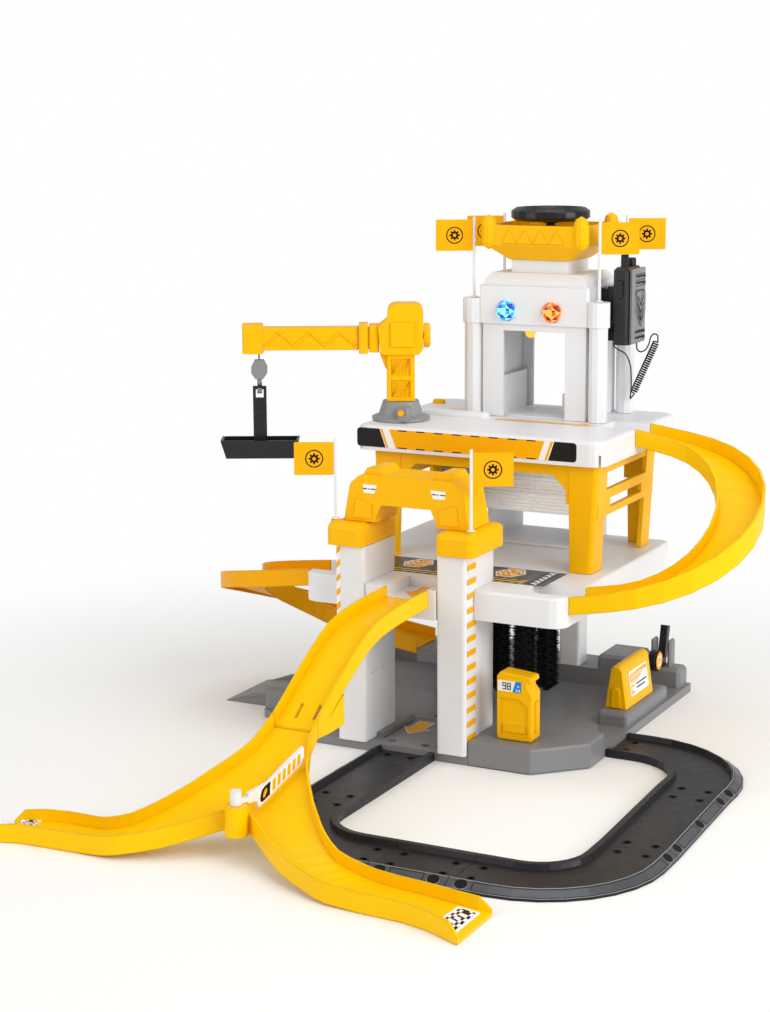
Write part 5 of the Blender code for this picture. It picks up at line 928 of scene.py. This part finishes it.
def rail_marks():
    """Outer rail with painted light: a lighter grey over its sloped face, paler painted highlights
    along its edges and round the sockets, framed inlays, and dark round sockets beside each joint.
    """
    for name, line in TRACK.items():
        rail = Rail(line)
        end = rail.length
        sockets = [10.5, end - 10.5]
        if name in ("track_gate", "track_side"):
            sockets.insert(1, end / 2)
        shapes = [(RAIL_PAINTED_SHEEN, 1, q) for q in rail.bar(0.3, end - 0.3, 0.25, RAIL_FACE - 0.4)]
        shapes += [(RAIL_PAINTED_HIGHLIGHT, 2, q) for q in rail.bar(0.3, end - 0.3, 0.1, 0.6)
                   + rail.bar(0.3, end - 0.3, RAIL_FACE - 0.9, RAIL_FACE - 0.4)]
        for u in sockets:
            shapes.append((RAIL_PAINTED_HIGHLIGHT, 2, disc(u, 5.1, 5.2, 4.4)))
            shapes.append((GROOVE_AND_SHADE, 3, disc(u, 4.8, 4.9, 4.1)))
        for a, b in zip(sockets, sockets[1:]):
            a, b = a + 8, b - 8
            for q in (rail.bar(a, b, 1.1, 1.6) + rail.bar(a, b, 8.4, 8.9)
                      + rail.bar(a, a + 0.6, 1.6, 8.4) + rail.bar(b - 0.6, b, 1.6, 8.4)):
                shapes.append((GROOVE_AND_SHADE, 2, q))
        stickers(name + "_rail", "garage", rail, shapes)


def track_hole_shade():
    """Dark cups down the round holes of the track's floor, painted shade where the pale ground
    would show, with dark rings round their mouths.
    """
    bm = bmesh.new()
    for line in TRACK.values():
        for at in (0, -1):
            here, inward = line[at], (line[1] - line[0] if at == 0 else line[-2] - line[-1])
            inward = inward.normalized()
            out = Vector((inward.y, -inward.x, 0)) * (1 if at == 0 else -1)
            for s in (-11, 11):
                c = here + inward * 11 + out * (s - 2.25)
                rings = []
                for r, z in ((2.35, 2.9), (2.3, 0.5)):
                    rings.append([bm.verts.new(Vector((c.x + u, c.y + v, z)) * MM)
                                  for u, v in disc(0, 0, r, sides=16)])
                for k in range(16):
                    n = (k + 1) % 16
                    bm.faces.new((rings[0][n], rings[0][k], rings[1][k], rings[1][n]))
                bm.faces.new(rings[1])
                for quad in ring(0, 0, 3.7, 2.3, sides=16):
                    bm.faces.new([bm.verts.new(Vector((c.x + u, c.y + v, 3.12)) * MM)
                                  for u, v in quad])
    finish_piece("track_hole_shade", bm, [GROOVE_AND_SHADE], "garage")


# Floor and light, in metres
TOY_MIDDLE = (0.04, -0.15, 0)
FADE = (0.30, 0.85)            # from this reach around the toy to this one the floor turns white


def floor():
    """Pale floor; away from the toy it is plain white to the camera, like the backdrop."""
    mesh = bpy.data.meshes.new("floor")
    bm = bmesh.new()
    bmesh.ops.create_grid(bm, x_segments=2, y_segments=2, size=6)
    bm.to_mesh(mesh)
    bm.free()
    mat = bpy.data.materials.new("floor")
    mat.use_nodes = True
    nodes, links = mat.node_tree.nodes, mat.node_tree.links
    shader = nodes["Principled BSDF"]
    shader.inputs["Base Color"].default_value = (*srgb(250, 249, 246), 1)
    shader.inputs["Roughness"].default_value = 0.8
    reach = nodes.new("ShaderNodeVectorMath")
    reach.operation = 'DISTANCE'
    links.new(nodes.new("ShaderNodeTexCoord").outputs["Object"], reach.inputs[0])
    reach.inputs[1].default_value = TOY_MIDDLE
    fade = nodes.new("ShaderNodeMapRange")
    fade.interpolation_type = 'SMOOTHSTEP'
    fade.inputs["From Min"].default_value, fade.inputs["From Max"].default_value = FADE
    links.new(reach.outputs["Value"], fade.inputs["Value"])
    both = nodes.new("ShaderNodeMath")
    both.operation = 'MULTIPLY'
    links.new(fade.outputs["Result"], both.inputs[0])
    links.new(nodes.new("ShaderNodeLightPath").outputs["Is Camera Ray"], both.inputs[1])
    white = nodes.new("ShaderNodeEmission")
    mix = nodes.new("ShaderNodeMixShader")
    links.new(both.outputs[0], mix.inputs["Fac"])
    links.new(shader.outputs["BSDF"], mix.inputs[1])
    links.new(white.outputs["Emission"], mix.inputs[2])
    links.new(mix.outputs["Shader"], nodes["Material Output"].inputs["Surface"])
    mesh.materials.append(mat)
    link("floor", mesh)


def area_light(name, place, target, size, watts):
    light = bpy.data.lights.new(name, 'AREA')
    light.shape = 'DISK'
    light.size = size
    light.energy = watts
    obj = link(name, light)
    obj.location = place
    obj.rotation_euler = (Vector(target) - Vector(place)).to_track_quat('-Z', 'Y').to_euler()


def lights():
    area_light("key", (2.1, -1.1, 1.5), (0, 0, 0.15), 1.6, 27)
    area_light("low", (2.4, -0.15, 0.6), (0, 0, 0.12), 1.0, 15)
    area_light("fill", (-1.3, -2.0, 1.0), (0, 0, 0.15), 1.8, 15)
    area_light("top", (0.1, 0.1, 2.4), (0, 0, 0.2), 1.8, 12)

    # Dimmer to the toy than to the camera, so that the shaded sides keep their depth
    world = bpy.data.worlds.new("world")
    bpy.context.scene.world = world
    world.use_nodes = True
    nodes, links = world.node_tree.nodes, world.node_tree.links
    back = nodes["Background"]
    back.inputs["Color"].default_value = (1, 1, 1, 1)
    level = nodes.new("ShaderNodeMapRange")
    level.inputs["To Min"].default_value = 0.52
    level.inputs["To Max"].default_value = 1.0
    links.new(nodes.new("ShaderNodeLightPath").outputs["Is Camera Ray"], level.inputs["Value"])
    links.new(level.outputs["Result"], back.inputs["Strength"])


camera()
curly_cord(RUBBER)
dress_all()
lamps()
top_sign()
arch_marks()
pillar_strips()
bay_prints()
arrows()
can_label()
deck_arrow()
diverter_print()
finish_prints()
pump_label()
handset_grooves()
brush_tufts()
shutter_curtain()
crane_relief()
hanger_plate()
road_seams()
flag_sheets()
rail_marks()
track_hole_shade()
floor()
lights()
